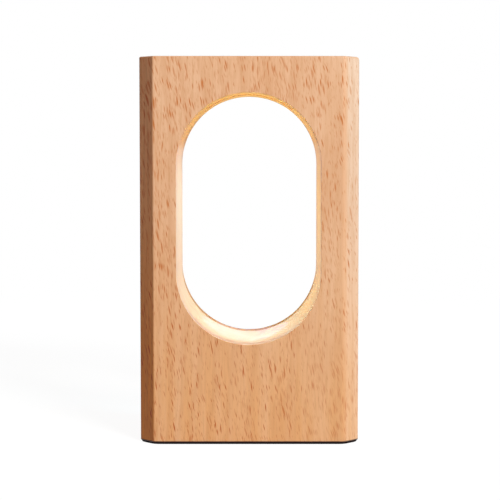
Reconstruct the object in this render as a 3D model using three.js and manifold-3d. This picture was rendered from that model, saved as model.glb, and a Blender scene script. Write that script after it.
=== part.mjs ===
// A wooden desk lamp: a beech block with a window right through it, lit by LEDs set in the window's arch.
// The block is glued up from a front and a rear board, with the wire channel routed between them. A cavity
// milled from below holds the battery, and a panel in the back carries the charging inlet and the button.
// Lengths are in millimetres. +X is to the right, the front faces -Y and +Z is up. The origin is the middle
// of the footprint, on the surface that the lamp stands on.

import * as THREE from "three";
import { mergeVertices } from "three/addons/utils/BufferGeometryUtils.js";
import Module from "manifold-3d";

// Block of wood
const bodyWidth = 102;
const bodyDepth = 60;
const totalHeight = 180;
const cornerChamfer = 6.6; // how far each vertical corner is cut back along both faces

// Window through the block, with half-round ends
const windowSideMargin = 17.4; // wood left at each side of it
const windowTopMargin = 16.7;
const windowBottomMargin = 46.5; // from the floor to the window's lowest point

// Clearances
const fitGap = 0.3; // between pieces that seat in one another
const closeGap = 0.2; // between pieces that rest on one another
const overrun = 2; // how far a cut runs past the face that it starts from
const mergeDistance = 0.0001; // vertices closer than this are one vertex

// Groove in the window's arch, and the channel for the LED leads
const grooveWidth = 12;
const grooveDepth = 7.5;
const grooveHalfAngle = THREE.MathUtils.degToRad(39);
const channelWidth = 4.6;
const channelDepth = 4.6; // routed this deep into the rear board
const channelWeb = 2.6; // wood left between the window and the channel
const landingDrop = 5; // height of the channel's lower end, where it runs in under the cavity's roof

// LED light
const trayHalfAngle = THREE.MathUtils.degToRad(38);
const trayWall = 1;
const trayRecess = 1; // from the window's surface to the tray's edge
const trayLipReach = 0.9; // how far each lip reaches in under the diffuser
const trayLipThickness = 0.5;
const diffuserThickness = 1.5;
const ledStripWidth = 8;
const ledStripThickness = 0.4;
const ledStripHalfAngle = THREE.MathUtils.degToRad(37);
const ledChipCount = 8;
const ledChipLength = 3.5;
const ledChipWidth = 2.8;
const ledChipThickness = 0.8;
const ledChipSpanShare = 0.86; // of the strip's angle, between the first chip and the last
const leadDiameter = 1.3;
const leadSpacing = 1.9; // between the centres of the two leads
const leadBend = 2; // how far from its corner a lead's bend begins

// Base pad and base cover
const padThickness = 0.8;
const padInset = 0.4;
const coverInset = 4.5; // from the block's outline to the rebate that takes the cover
const coverThickness = 2.5;
const coverScrewLength = 12;
const coverScrewRadius = 1.5;
const coverScrewHeadRadius = 2.9;
const coverScrewHeadHeight = 1.6;

// Cavity in the base
const cavityHeight = 27.5;
const cavityCornerRadius = 3;
const frontWall = 6.6;
const rearWall = 8;
const sideWall = 11;
const bossWidth = 4.4; // each screw boss, from its inner face to the cavity's end
const bossLength = 10.2; // each screw boss, from its inner face to the cover's edge
const bossCornerRadius = 1.5;

// Battery cell in its cradle
const cellDiameter = 18.4;
const cellRimRadius = 1; // rounding of the cell's ends
const tabThickness = 0.3;
const tabWidth = 8;
const tabHeight = 13;
const cradleWall = 1.4;
const cradleFloor = 1.5;
const cradleWallDrop = 2; // the cradle's walls end this far below the cell's axis
const cradleGap = 0.8; // from the cradle to the cavity's front and to the bosses
const tapeThickness = 0.5;
const tapeMargin = 3; // from the cradle's edge to the tape's
const foamLengthShare = 0.86; // of the cell's length
const foamWidth = 14;
const foamCrown = 0.9; // how far the foam bulges at its sides
const batteryLeadRise = 4; // the leads leave the tabs this far above the cell's axis
const batteryLeadReach = 3; // how far out of the tabs they reach before they rise
const batteryLeadHeight = 7.3; // they cross the cavity this far above the cell's axis
const batteryLeadOffset = 8.3; // and this far behind it

// Rear panel with the board shelf
const portAxisZ = 17; // height of the inlet's and the button's axis
const panelWidth = 59.4;
const panelHeight = 20.4;
const panelThickness = 1.5;
const panelFaceRecess = 1.2; // the panel's face lies this far inside the wood's rear face
const panelOpeningWidth = 46;
const panelOpeningHeight = 15.6;
const panelOpeningRadius = 3;
const panelScrewEndMargin = 3.6; // from the panel's end to the screw's axis
const panelScrewLength = 5;
const panelScrewRadius = 1.1;
const panelScrewHeadRadius = 1.9;
const panelScrewHeadHeight = 1;
const shelfThickness = 1.4;
const shelfHalfWidth = 19.4;
const boardRise = 2.6; // from the shelf to the board
const ledgeLength = 1.4;
const postRadius = 1.9;
const postFromEdge = 3; // from the board's rear edge to the posts' axes

// Screw recesses
const crossWidth = 0.7;
const crossReachShare = 0.62; // of the head's radius
const crossDepthShare = 0.6; // of the head's height
const headRimShare = 0.17; // of the head's height, its straight rim

// Driver board and what is soldered to it
const boardThickness = 1.6;
const boardLength = 16.9;
const boardHalfWidth = 19.7;
const boardEdgeGap = 0.9; // from the board's rear edge to the panel
const boardScrewRadius = 0.9;
const boardScrewHeadRadius = 1.6;
const boardScrewHeadHeight = 1.1;
const boardScrewLength = 3.8;
const leftPostX = -17.3;
const rightPostX = -1;
const usbX = -10;
const usbWidth = 8.94;
const usbHeight = 3.26;
const usbDepth = 7.35;
const usbWall = 0.35;
const usbCornerShare = 0.48; // of the shell's height, its corner radius
const usbFaceSetback = 0.5; // the inlet's mouth lies this far inside the panel's face
const tongueWidth = 6.4;
const tongueThickness = 0.7;
const tongueSetback = 0.8; // the tongue's tip lies this far inside the mouth
const plugSocketWidth = 5.9;
const plugSocketDepth = 4.5;
const plugSocketHeight = 5;
const plugSocketWall = 0.5;
const plugOverhang = 1.6; // how far the plug stands up out of its socket
const plugSocketEdgeGap = 0.3; // from the board's inner edge to the socket
const batterySocketX = -15.6;
const ledSocketX = 16.4;

// Button, its spring and the switch
const buttonX = 10;
const buttonTravel = 0.9;
const capRadius = 4.5;
const capProud = 1; // how far the cap stands out of the panel
const capEdgeRadius = 0.6;
const capEdgeShare = 0.29; // of the edge's radius, where the middle of its round lies in from both faces
const flangeRadius = 5.4;
const flangeThickness = 1;
const stemRadius = 1.6;
const springMeanRadius = 2.6;
const springWireRadius = 0.3;
const springTurns = 5;
const springLength = 5.6;
const seatThickness = 1.2;
const seatHalfWidth = 4.8;
const seatAboveAxis = 3.6;
const notchHalfWidth = 6;
const notchFrontGap = 0.9; // from the notch to the spring seat
const stemPastSeat = 1.3;
const plungerRadius = 1;
const plungerProud = 1.5;
const plungerLength = 3.3;
const plungerBoreSlack = 1.2; // free length behind the plunger at rest
const switchWidth = 6.2;
const switchLength = 4.5;
const switchHeight = 3.5;

// Small parts on the board. Their places are shares of its half width and of its length from its inner edge,
// and their sizes are shares of its half width, its length and its thickness.
const boardPartShares = [
  { name: "charge_chip", place: [-0.47, 0.42], size: [0.25, 0.24, 0.9], color: 0x1c1c1e },
  { name: "driver_chip", place: [-0.14, 0.24], size: [0.15, 0.18, 0.6], color: 0x1c1c1e },
  { name: "inductor", place: [0.13, 0.24], size: [0.25, 0.3, 1.75], color: 0x3c3d40 },
  { name: "capacitor_1", place: [-0.47, 0.12], size: [0.1, 0.075, 0.75], color: 0xb08a5a },
  { name: "capacitor_2", place: [-0.14, 0.5], size: [0.1, 0.075, 0.75], color: 0xb08a5a },
];

// Facets
const arcSegments = 24; // of a half circle on the large curves
const smallArcSegments = 5; // of a quarter circle on small corners
const roundSegments = 20; // round a screw, a pin or a button
const leadSides = 6;
const leadSteps = 44;
const leadArcSteps = 6; // points of a lead round the arch, less one
const springSides = 5;
const springStepsPerTurn = 10;

// Worked out from the sizes above
const halfWidth = bodyWidth / 2;
const halfDepth = bodyDepth / 2;
const windowRadius = halfWidth - windowSideMargin;
const windowTopZ = totalHeight - windowTopMargin;
const archCentreZ = windowTopZ - windowRadius;
const lowerArcCentreZ = windowBottomMargin + windowRadius;
const grooveOuterRadius = windowRadius + grooveDepth;
const channelInnerRadius = windowRadius + channelWeb;
const channelOuterRadius = channelInnerRadius + channelWidth;
const channelRadius = (channelInnerRadius + channelOuterRadius) / 2;
const woodBottomZ = padThickness;
const coverTopZ = woodBottomZ + coverThickness;
const cavityRoofZ = woodBottomZ + cavityHeight;
const cavityFrontY = -halfDepth + frontWall;
const cavityRearY = halfDepth - rearWall;
const coverHalfX = halfWidth - coverInset - fitGap;
const coverHalfY = halfDepth - coverInset - fitGap;
const cavityHalfX = halfWidth - sideWall;
const bossInnerX = cavityHalfX - bossWidth;
const bossInnerY = coverHalfY - bossLength;
const cradleHalfLength = bossInnerX - cradleGap;
const cradleHalfWidth = cellDiameter / 2 + closeGap + cradleWall;
const cellLength = 2 * (cradleHalfLength - cradleWall - 2 * fitGap - tabThickness);
const cellY = cavityFrontY + cradleGap + cradleHalfWidth;
const cradleBottomZ = coverTopZ + tapeThickness;
const cellBottomZ = cradleBottomZ + cradleFloor + closeGap;
const cellZ = cellBottomZ + cellDiameter / 2;
const coverScrewX = (bossInnerX + coverHalfX) / 2;
const coverScrewY = (bossInnerY + coverHalfY) / 2;
const panelFaceY = halfDepth - panelFaceRecess;
const panelBackY = panelFaceY - panelThickness;
const panelScrewX = panelWidth / 2 - panelScrewEndMargin;
const boardTopZ = portAxisZ - usbHeight / 2;
const boardBottomZ = boardTopZ - boardThickness;
const shelfTopZ = boardBottomZ - boardRise;
const boardRearY = panelBackY - boardEdgeGap;
const boardInnerY = boardRearY - boardLength;
const postY = boardRearY - postFromEdge;
const flangeRearY = panelBackY - fitGap;
const flangeFrontY = flangeRearY - flangeThickness;
const seatRearY = flangeFrontY - springLength - 2 * closeGap;
const seatFrontY = seatRearY - seatThickness;
const stemFrontY = seatFrontY - stemPastSeat;
const plungerRearY = stemFrontY - fitGap;
const switchRearY = plungerRearY - plungerProud;
const notchFrontY = seatFrontY - notchFrontGap;
const usbMouthY = panelFaceY - usbFaceSetback;
const plugSocketFrontY = boardInnerY + plugSocketEdgeGap;
const plugSocketRearY = plugSocketFrontY + plugSocketDepth;
const plugY = (plugSocketFrontY + plugSocketRearY) / 2;
const plugSocketBottomZ = boardTopZ + closeGap / 2;
const plugSocketTopZ = plugSocketBottomZ + plugSocketHeight;
const plugTopZ = plugSocketTopZ + plugOverhang;
const leadRunZ = cavityRoofZ - landingDrop / 2;

// Colours and finishes
const finishes = {
  wood: { color: 0xe2ad82, roughness: 0.55, metalness: 0 },
  pad: { color: 0x24160e, roughness: 0.95, metalness: 0 },
  blackPlastic: { color: 0x222325, roughness: 0.5, metalness: 0 },
  aluminium: { color: 0xc8cacc, roughness: 0.4, metalness: 1 },
  steel: { color: 0xb4b6b8, roughness: 0.3, metalness: 1 },
  nickel: { color: 0xcfcdc4, roughness: 0.35, metalness: 1 },
  opal: { color: 0xfff1d6, roughness: 0.4, metalness: 0 },
  ledStrip: { color: 0xf3f1ea, roughness: 0.5, metalness: 0 },
  ledChip: { color: 0xf5d76a, roughness: 0.4, metalness: 0 },
  board: { color: 0x1f6b3a, roughness: 0.45, metalness: 0 },
  cell: { color: 0x2f6fb0, roughness: 0.4, metalness: 0 },
  foam: { color: 0x55565a, roughness: 1, metalness: 0 },
  tape: { color: 0xd9d4c6, roughness: 0.8, metalness: 0 },
  whitePlastic: { color: 0xefeee8, roughness: 0.5, metalness: 0 },
  red: { color: 0xb3261e, roughness: 0.5, metalness: 0 },
  black: { color: 0x17181a, roughness: 0.5, metalness: 0 },
};

const lamp = new THREE.Group();
const wasm = await Module();
wasm.setup();

// A closed geometry as a solid that can be cut and joined.
function solidOf(geometry) {
  const bare = geometry.index ? geometry.toNonIndexed() : geometry.clone();
  bare.deleteAttribute("normal");
  bare.deleteAttribute("uv");
  const merged = mergeVertices(bare, mergeDistance);
  const vertProperties = merged.attributes.position.array;
  const triVerts = new Uint32Array(merged.index.array);
  return new wasm.Manifold(new wasm.Mesh({ numProp: 3, vertProperties, triVerts }));
}

function geometryOf(solid) {
  const mesh = solid.getMesh();
  const geometry = new THREE.BufferGeometry();
  geometry.setAttribute("position", new THREE.BufferAttribute(mesh.vertProperties, 3));
  geometry.setIndex(new THREE.BufferAttribute(mesh.triVerts, 1));
  const faceted = geometry.toNonIndexed();
  faceted.computeVertexNormals();
  return faceted;
}

function cutFrom(geometry, ...tools) {
  return geometryOf(tools.reduce((solid, tool) => solid.subtract(solidOf(tool)), solidOf(geometry)));
}

function joined(geometry, ...others) {
  return geometryOf(others.reduce((solid, other) => solid.add(solidOf(other)), solidOf(geometry)));
}

function common(geometry, other) {
  return geometryOf(solidOf(geometry).intersect(solidOf(other)));
}

function addMesh(name, geometry, finish, parent = lamp) {
  const mesh = new THREE.Mesh(geometry, new THREE.MeshStandardMaterial(finish));
  mesh.name = name;
  parent.add(mesh);
  return mesh;
}

function boxBetween([x0, x1], [y0, y1], [z0, z1]) {
  const box = new THREE.BoxGeometry(x1 - x0, y1 - y0, z1 - z0);
  return box.translate((x0 + x1) / 2, (y0 + y1) / 2, (z0 + z1) / 2);
}

// A flat outline drawn in X and Y, raised from z0 to z1.
function raised(shape, z0, z1) {
  const options = { depth: z1 - z0, bevelEnabled: false, curveSegments: shape.segments };
  return new THREE.ExtrudeGeometry(shape, options).translate(0, 0, z0);
}

// An outline drawn in X and Z, as seen from the front, running from y0 back to y1.
function runningBack(shape, y0, y1) {
  const options = { depth: y1 - y0, bevelEnabled: false, curveSegments: shape.segments };
  return new THREE.ExtrudeGeometry(shape, options).rotateX(Math.PI / 2).translate(0, y1, 0);
}

function roundedRectangle([x0, x1], [y0, y1], radius, segments = smallArcSegments) {
  const shape = new THREE.Shape();
  shape.segments = segments;
  shape.moveTo(x0 + radius, y0);
  shape.lineTo(x1 - radius, y0);
  shape.absarc(x1 - radius, y0 + radius, radius, -Math.PI / 2, 0, false);
  shape.lineTo(x1, y1 - radius);
  shape.absarc(x1 - radius, y1 - radius, radius, 0, Math.PI / 2, false);
  shape.lineTo(x0 + radius, y1);
  shape.absarc(x0 + radius, y1 - radius, radius, Math.PI / 2, Math.PI, false);
  shape.lineTo(x0, y0 + radius);
  shape.absarc(x0 + radius, y0 + radius, radius, Math.PI, 1.5 * Math.PI, false);
  return shape;
}

// The block's plan, moved in by inset on every side.
function blockPlan(inset) {
  const x = halfWidth - inset;
  const y = halfDepth - inset;
  const chamfer = cornerChamfer - inset * (2 - Math.SQRT2);
  const shape = new THREE.Shape();
  shape.segments = 1;
  shape.moveTo(-x + chamfer, -y);
  shape.lineTo(x - chamfer, -y);
  shape.lineTo(x, -y + chamfer);
  shape.lineTo(x, y - chamfer);
  shape.lineTo(x - chamfer, y);
  shape.lineTo(-x + chamfer, y);
  shape.lineTo(-x, y - chamfer);
  shape.lineTo(-x, -y + chamfer);
  shape.closePath();
  return shape;
}

// A stretch of ring in X and Z around the arch's centre, between two angles taken clockwise from straight up.
function archSector(innerRadius, outerRadius, startAngle, endAngle) {
  const shape = new THREE.Shape();
  shape.segments = arcSegments;
  const start = Math.PI / 2 - startAngle;
  const end = Math.PI / 2 - endAngle;
  shape.absarc(0, archCentreZ, outerRadius, start, end, true);
  shape.absarc(0, archCentreZ, innerRadius, end, start, false);
  shape.closePath();
  return shape;
}

// A body of revolution from [radius, height] pairs, its axis along Y and its heights counted along +Y.
function turned(profile) {
  return new THREE.LatheGeometry(profile.map(([r, h]) => new THREE.Vector2(r, h)), roundSegments);
}

function cylinderAlongY(radius, y0, y1, x, z) {
  const cylinder = new THREE.CylinderGeometry(radius, radius, y1 - y0, roundSegments);
  return cylinder.translate(x, (y0 + y1) / 2, z);
}

function cylinderAlongZ(radius, z0, z1, x, y) {
  const cylinder = new THREE.CylinderGeometry(radius, radius, z1 - z0, roundSegments);
  return cylinder.rotateX(Math.PI / 2).translate(x, y, (z0 + z1) / 2);
}

// A countersunk screw with a cross recess, its axis along Y, its head's face at zero and its tip at -length.
function countersunkScrew({ radius, headRadius, headHeight, length }) {
  const rim = headHeight * headRimShare;
  const screw = turned([
    [0, -length],
    [radius / 3, -length],
    [radius, -length + 2 * radius],
    [radius, -headHeight],
    [headRadius, -rim],
    [headRadius, 0],
    [0, 0],
  ]);
  return cutFrom(screw, ...crossRecess(headRadius, headHeight));
}

// The two bars of a cross recess in a head whose face is at zero.
function crossRecess(headRadius, headHeight) {
  const reach = headRadius * crossReachShare;
  const depth = headHeight * crossDepthShare;
  const half = crossWidth / 2;
  return [
    boxBetween([-reach, reach], [-depth, overrun], [-half, half]),
    boxBetween([-half, half], [-depth, overrun], [-reach, reach]),
  ];
}

// The hole that a countersunk screw sits in, with a clearance all round.
function countersunkHole({ radius, headRadius, headHeight, length }, clearance) {
  return turned([
    [0, -length - clearance],
    [radius + clearance, -length - clearance],
    [radius + clearance, -headHeight],
    [headRadius + clearance, 0],
    [headRadius + clearance, overrun],
    [0, overrun],
  ]);
}

// A round lead along a smooth curve through the given points.
function leadThrough(points) {
  const curve = new THREE.CatmullRomCurve3(points, false, "centripetal");
  const options = { steps: leadSteps, extrudePath: curve, bevelEnabled: false, curveSegments: 1 };
  return new THREE.ExtrudeGeometry(wireSection(leadDiameter / 2, leadSides), options);
}

function wireSection(radius, sides) {
  const section = new THREE.Shape();
  section.moveTo(radius, 0);
  for (let side = 1; side < sides; side++) {
    const angle = (2 * Math.PI * side) / sides;
    section.lineTo(radius * Math.cos(angle), radius * Math.sin(angle));
  }
  section.closePath();
  return section;
}

// A lead's route from corner to corner, with a bend at each inner corner.
function bent(corners) {
  const points = [corners[0]];
  for (let i = 1; i < corners.length - 1; i++) {
    const before = towards(corners[i], corners[i - 1]);
    const after = towards(corners[i], corners[i + 1]);
    const between = before.clone().lerp(after, 1 / 2).lerp(corners[i], 1 / 2);
    points.push(before, between, after);
  }
  points.push(corners[corners.length - 1]);
  return points;
}

// The point on the way from a corner to the next where the lead's bend meets the straight.
function towards(corner, next) {
  return next.clone().sub(corner).setLength(leadBend).add(corner);
}

// Point on the arch's own plane of given radius and angle, clockwise from straight up.
function onArch(radius, angle, y) {
  return new THREE.Vector3(radius * Math.sin(angle), y, archCentreZ + radius * Math.cos(angle));
}

const coverScrew = {
  radius: coverScrewRadius,
  headRadius: coverScrewHeadRadius,
  headHeight: coverScrewHeadHeight,
  length: coverScrewLength,
};
const panelScrew = {
  radius: panelScrewRadius,
  headRadius: panelScrewHeadRadius,
  headHeight: panelScrewHeadHeight,
  length: panelScrewLength,
};
const coverScrewPlaces = [
  [-coverScrewX, -coverScrewY],
  [coverScrewX, -coverScrewY],
  [coverScrewX, coverScrewY],
  [-coverScrewX, coverScrewY],
];
const coverScrewFaceZ = woodBottomZ + closeGap;
const panelScrewFaceY = panelFaceY - closeGap;

// A screw or its hole, turned so that its head faces down.
function headDown(geometry, [x, y], z) {
  return geometry.rotateX(-Math.PI / 2).translate(x, y, z);
}

function windowCut() {
  const outline = roundedRectangle(
    [-windowRadius, windowRadius],
    [windowBottomMargin, windowTopZ],
    windowRadius,
    arcSegments,
  );
  return runningBack(outline, -halfDepth - overrun, halfDepth + overrun);
}

function grooveCut() {
  const outline = archSector(windowRadius - overrun, grooveOuterRadius, -grooveHalfAngle, grooveHalfAngle);
  return runningBack(outline, -grooveWidth / 2, grooveWidth / 2);
}

// The lead channel: from the groove's right end round the arch, down the side post and into the cavity.
function channelCut() {
  const outline = new THREE.Shape();
  outline.segments = arcSegments;
  const start = Math.PI / 2 - grooveHalfAngle + overrun / channelRadius;
  const bottom = cavityRoofZ - landingDrop;
  outline.absarc(0, archCentreZ, channelOuterRadius, start, 0, true);
  outline.lineTo(channelOuterRadius, bottom);
  outline.lineTo(channelInnerRadius, bottom);
  outline.absarc(0, archCentreZ, channelInnerRadius, 0, start, false);
  outline.closePath();
  return joined(
    runningBack(outline, -overrun, channelDepth),
    boxBetween([0, channelOuterRadius], [-overrun, channelDepth], [bottom, cavityRoofZ]),
  );
}

function cavityCut() {
  const plan = roundedRectangle(
    [-cavityHalfX, cavityHalfX],
    [cavityFrontY, cavityRearY],
    cavityCornerRadius,
  );
  const bosses = [];
  for (const side of [-1, 1]) {
    for (const end of [-1, 1]) {
      const xs = [bossInnerX, cavityHalfX + overrun].map((x) => x * side).sort((a, b) => a - b);
      const ys = [bossInnerY, halfDepth].map((y) => y * end).sort((a, b) => a - b);
      const boss = roundedRectangle(xs, ys, bossCornerRadius);
      bosses.push(raised(boss, woodBottomZ - 2 * overrun, cavityRoofZ + overrun));
    }
  }
  return cutFrom(raised(plan, woodBottomZ - overrun, cavityRoofZ), ...bosses);
}

function rebateCut() {
  return raised(blockPlan(coverInset), woodBottomZ - overrun, coverTopZ);
}

// The seat of the rear panel, and the opening behind it into the cavity.
function panelCuts() {
  const seat = roundedRectangle(
    [-panelWidth / 2 - fitGap, panelWidth / 2 + fitGap],
    [portAxisZ - panelHeight / 2 - fitGap, portAxisZ + panelHeight / 2 + fitGap],
    panelHeight / 2 + fitGap,
    arcSegments / 2,
  );
  const opening = roundedRectangle(
    [-panelOpeningWidth / 2, panelOpeningWidth / 2],
    [portAxisZ - panelOpeningHeight / 2, portAxisZ + panelOpeningHeight / 2],
    panelOpeningRadius,
  );
  return [
    runningBack(seat, panelBackY, halfDepth + overrun),
    runningBack(opening, cavityRearY - overrun, panelBackY + panelThickness / 2),
  ];
}

function panelScrewHoles(clearance) {
  return [-panelScrewX, panelScrewX].map((x) =>
    countersunkHole(panelScrew, clearance).translate(x, panelScrewFaceY, portAxisZ),
  );
}

function coverScrewHoles() {
  return coverScrewPlaces.map((place) =>
    headDown(countersunkHole(coverScrew, fitGap), place, coverScrewFaceZ),
  );
}

// Front and rear boards of the block, glued together at the middle of its depth.
function addBoards() {
  const block = cutFrom(
    raised(blockPlan(0), woodBottomZ, totalHeight),
    windowCut(),
    grooveCut(),
    cavityCut(),
    rebateCut(),
    ...panelCuts(),
    ...panelScrewHoles(fitGap),
    ...coverScrewHoles(),
  );
  const across = [-halfWidth - overrun, halfWidth + overrun];
  const up = [-overrun, totalHeight + overrun];
  const front = boxBetween(across, [-halfDepth - overrun, 0], up);
  const rear = boxBetween(across, [0, halfDepth + overrun], up);
  addMesh("front_board", common(block, front), finishes.wood);
  addMesh("rear_board", cutFrom(common(block, rear), channelCut()), finishes.wood);
}

// Aluminium tray in the groove, with the LED strip, its chips and the diffuser.
function addLight() {
  const outerRadius = grooveOuterRadius - closeGap;
  const roofRadius = outerRadius - trayWall;
  const edgeRadius = windowRadius + trayRecess;
  const lipRadius = edgeRadius + trayLipThickness;
  const halfOutside = grooveWidth / 2 - fitGap;
  const halfInside = halfOutside - trayWall;
  const halfMouth = halfInside - trayLipReach;
  const span = [-trayHalfAngle, trayHalfAngle];
  const past = trayHalfAngle + overrun / windowRadius;
  const mouth = archSector(windowRadius - overrun, lipRadius + trayLipThickness, -past, past);
  const tray = cutFrom(
    runningBack(archSector(edgeRadius, outerRadius, ...span), -halfOutside, halfOutside),
    runningBack(archSector(lipRadius, roofRadius, -past, past), -halfInside, halfInside),
    runningBack(mouth, -halfMouth, halfMouth),
  );
  addMesh("led_tray", tray, finishes.aluminium);

  const stripOuterRadius = roofRadius - closeGap / 2;
  const stripInnerRadius = stripOuterRadius - ledStripThickness;
  const strip = archSector(stripInnerRadius, stripOuterRadius, -ledStripHalfAngle, ledStripHalfAngle);
  addMesh("led_strip", runningBack(strip, -ledStripWidth / 2, ledStripWidth / 2), finishes.ledStrip);

  const arch = new THREE.Group();
  arch.position.z = archCentreZ;
  lamp.add(arch);
  const chipRadius = stripInnerRadius - fitGap - ledChipThickness / 2;
  for (let i = 0; i < ledChipCount; i++) {
    const share = (2 * i) / (ledChipCount - 1) - 1;
    const spoke = new THREE.Group();
    spoke.rotation.y = share * ledStripHalfAngle * ledChipSpanShare;
    arch.add(spoke);
    const chip = new THREE.BoxGeometry(ledChipLength, ledChipWidth, ledChipThickness);
    addMesh(`led_chip_${i + 1}`, chip, finishes.ledChip, spoke).position.z = chipRadius;
  }

  const diffuserInnerRadius = lipRadius + closeGap;
  const diffuser = archSector(diffuserInnerRadius, diffuserInnerRadius + diffuserThickness, ...span);
  const halfDiffuser = halfInside - fitGap;
  addMesh("diffuser", runningBack(diffuser, -halfDiffuser, halfDiffuser), finishes.opal);
}

// A lead from the strip's right end round the arch, down the channel, in under the cavity's roof and into
// the plug from above.
function ledLeadPoints(channelY, plugX) {
  const startAngle = ledStripHalfAngle - leadDiameter / channelRadius;
  const arc = [];
  for (let i = 0; i < leadArcSteps; i++) {
    const angle = THREE.MathUtils.lerp(startAngle, Math.PI / 2, i / leadArcSteps);
    arc.push(onArch(channelRadius, angle, channelY));
  }
  const springLine = new THREE.Vector3(channelRadius, channelY, archCentreZ);
  const landing = new THREE.Vector3(channelRadius, channelY, leadRunZ);
  const run = bent([
    springLine.clone().lerp(landing, 2 / 3),
    landing,
    new THREE.Vector3(plugX, channelY, leadRunZ),
    new THREE.Vector3(plugX, plugY, leadRunZ),
    new THREE.Vector3(plugX, plugY, plugTopZ + fitGap),
  ]);
  return [...arc, springLine, springLine.clone().lerp(landing, 1 / 3), ...run];
}

// A lead from the tab at one end of the cell, up over the cradle's wall, along behind the cell and into the
// plug from above.
function batteryLeadPoints(end, plugX) {
  const tabX = end * (cellLength / 2 + fitGap + tabThickness + fitGap);
  const outX = tabX + end * batteryLeadReach;
  const leaveZ = cellZ + batteryLeadRise;
  const laneY = cellY + batteryLeadOffset;
  const laneZ = cellZ + batteryLeadHeight;
  return bent([
    new THREE.Vector3(tabX, cellY, leaveZ),
    new THREE.Vector3(outX, cellY, leaveZ),
    new THREE.Vector3(outX, laneY, laneZ),
    new THREE.Vector3(plugX, laneY, laneZ),
    new THREE.Vector3(plugX, plugY, leadRunZ),
    new THREE.Vector3(plugX, plugY, plugTopZ + fitGap),
  ]);
}

function addLeads() {
  const half = leadSpacing / 2;
  const nearY = channelDepth / 2 - half;
  const farY = channelDepth / 2 + half;
  addMesh("led_lead_red", leadThrough(ledLeadPoints(nearY, ledSocketX - half)), finishes.red);
  addMesh("led_lead_black", leadThrough(ledLeadPoints(farY, ledSocketX + half)), finishes.black);
  addMesh("battery_lead_red", leadThrough(batteryLeadPoints(-1, batterySocketX - half)), finishes.red);
  addMesh("battery_lead_black", leadThrough(batteryLeadPoints(1, batterySocketX + half)), finishes.black);
}

// Non-slip pad under the whole block, and the cover that closes the cavity.
function addBase() {
  addMesh("base_pad", raised(blockPlan(padInset), 0, padThickness), finishes.pad);
  const cover = cutFrom(
    raised(blockPlan(coverInset + fitGap), woodBottomZ, coverTopZ),
    ...coverScrewHoles(),
  );
  addMesh("base_cover", cover, finishes.blackPlastic);
  coverScrewPlaces.forEach((place, i) => {
    const screw = headDown(countersunkScrew(coverScrew), place, coverScrewFaceZ);
    addMesh(`cover_screw_${i + 1}`, screw, finishes.steel);
  });
}

// Battery cell, lying along X, with its cradle, tape, foam and solder tabs.
function addBattery() {
  const cradleLengthRange = [-cradleHalfLength, cradleHalfLength];
  const insideX = cradleHalfLength - cradleWall;
  const insideY = cradleHalfWidth - cradleWall;
  const floorZ = cradleBottomZ + cradleFloor;
  const topZ = cellZ - cradleWallDrop;
  const cradle = cutFrom(
    boxBetween(cradleLengthRange, [cellY - cradleHalfWidth, cellY + cradleHalfWidth], [cradleBottomZ, topZ]),
    boxBetween([-insideX, insideX], [cellY - insideY, cellY + insideY], [floorZ, topZ + overrun]),
  );
  addMesh("battery_cradle", cradle, finishes.blackPlastic);

  const tapeX = cradleHalfLength - tapeMargin;
  const tapeY = cradleHalfWidth - tapeMargin;
  const tape = boxBetween([-tapeX, tapeX], [cellY - tapeY, cellY + tapeY], [coverTopZ, cradleBottomZ]);
  addMesh("cradle_tape", tape, finishes.tape);

  const radius = cellDiameter / 2;
  const end = cellLength / 2;
  const rim = cellRimRadius;
  const cell = turned([
    [0, -end],
    [radius - rim, -end],
    [radius, -end + rim],
    [radius, end - rim],
    [radius - rim, end],
    [0, end],
  ]);
  addMesh("battery_cell", cell.rotateZ(Math.PI / 2).translate(0, cellY, cellZ), finishes.cell);

  const tabZ = cellZ - tabHeight / 3;
  for (const [name, side] of [["tab_positive", -1], ["tab_negative", 1]]) {
    const near = end + fitGap;
    const xs = [side * near, side * (near + tabThickness)].sort((a, b) => a - b);
    const tab = boxBetween(xs, [cellY - tabWidth / 2, cellY + tabWidth / 2], [tabZ, tabZ + tabHeight]);
    addMesh(name, tab, finishes.nickel);
  }
  addMesh("battery_foam", foamPad(), finishes.foam);
}

// The foam between the cell and the cavity's roof, with sides that bulge under its load.
function foamPad() {
  const halfLength = (cellLength * foamLengthShare) / 2;
  const bottom = cellZ + cellDiameter / 2 + closeGap;
  const top = cavityRoofZ - closeGap;
  const edge = foamWidth / 2 - foamCrown;
  const middle = (bottom + top) / 2;
  const section = new THREE.Shape();
  section.segments = smallArcSegments;
  section.moveTo(-edge, bottom);
  section.lineTo(edge, bottom);
  section.quadraticCurveTo(foamWidth / 2 + foamCrown, middle, edge, top);
  section.lineTo(-edge, top);
  section.quadraticCurveTo(-foamWidth / 2 - foamCrown, middle, -edge, bottom);
  const pad = runningBack(section, -halfLength, halfLength);
  return pad.rotateZ(Math.PI / 2).translate(0, cellY, 0);
}

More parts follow.
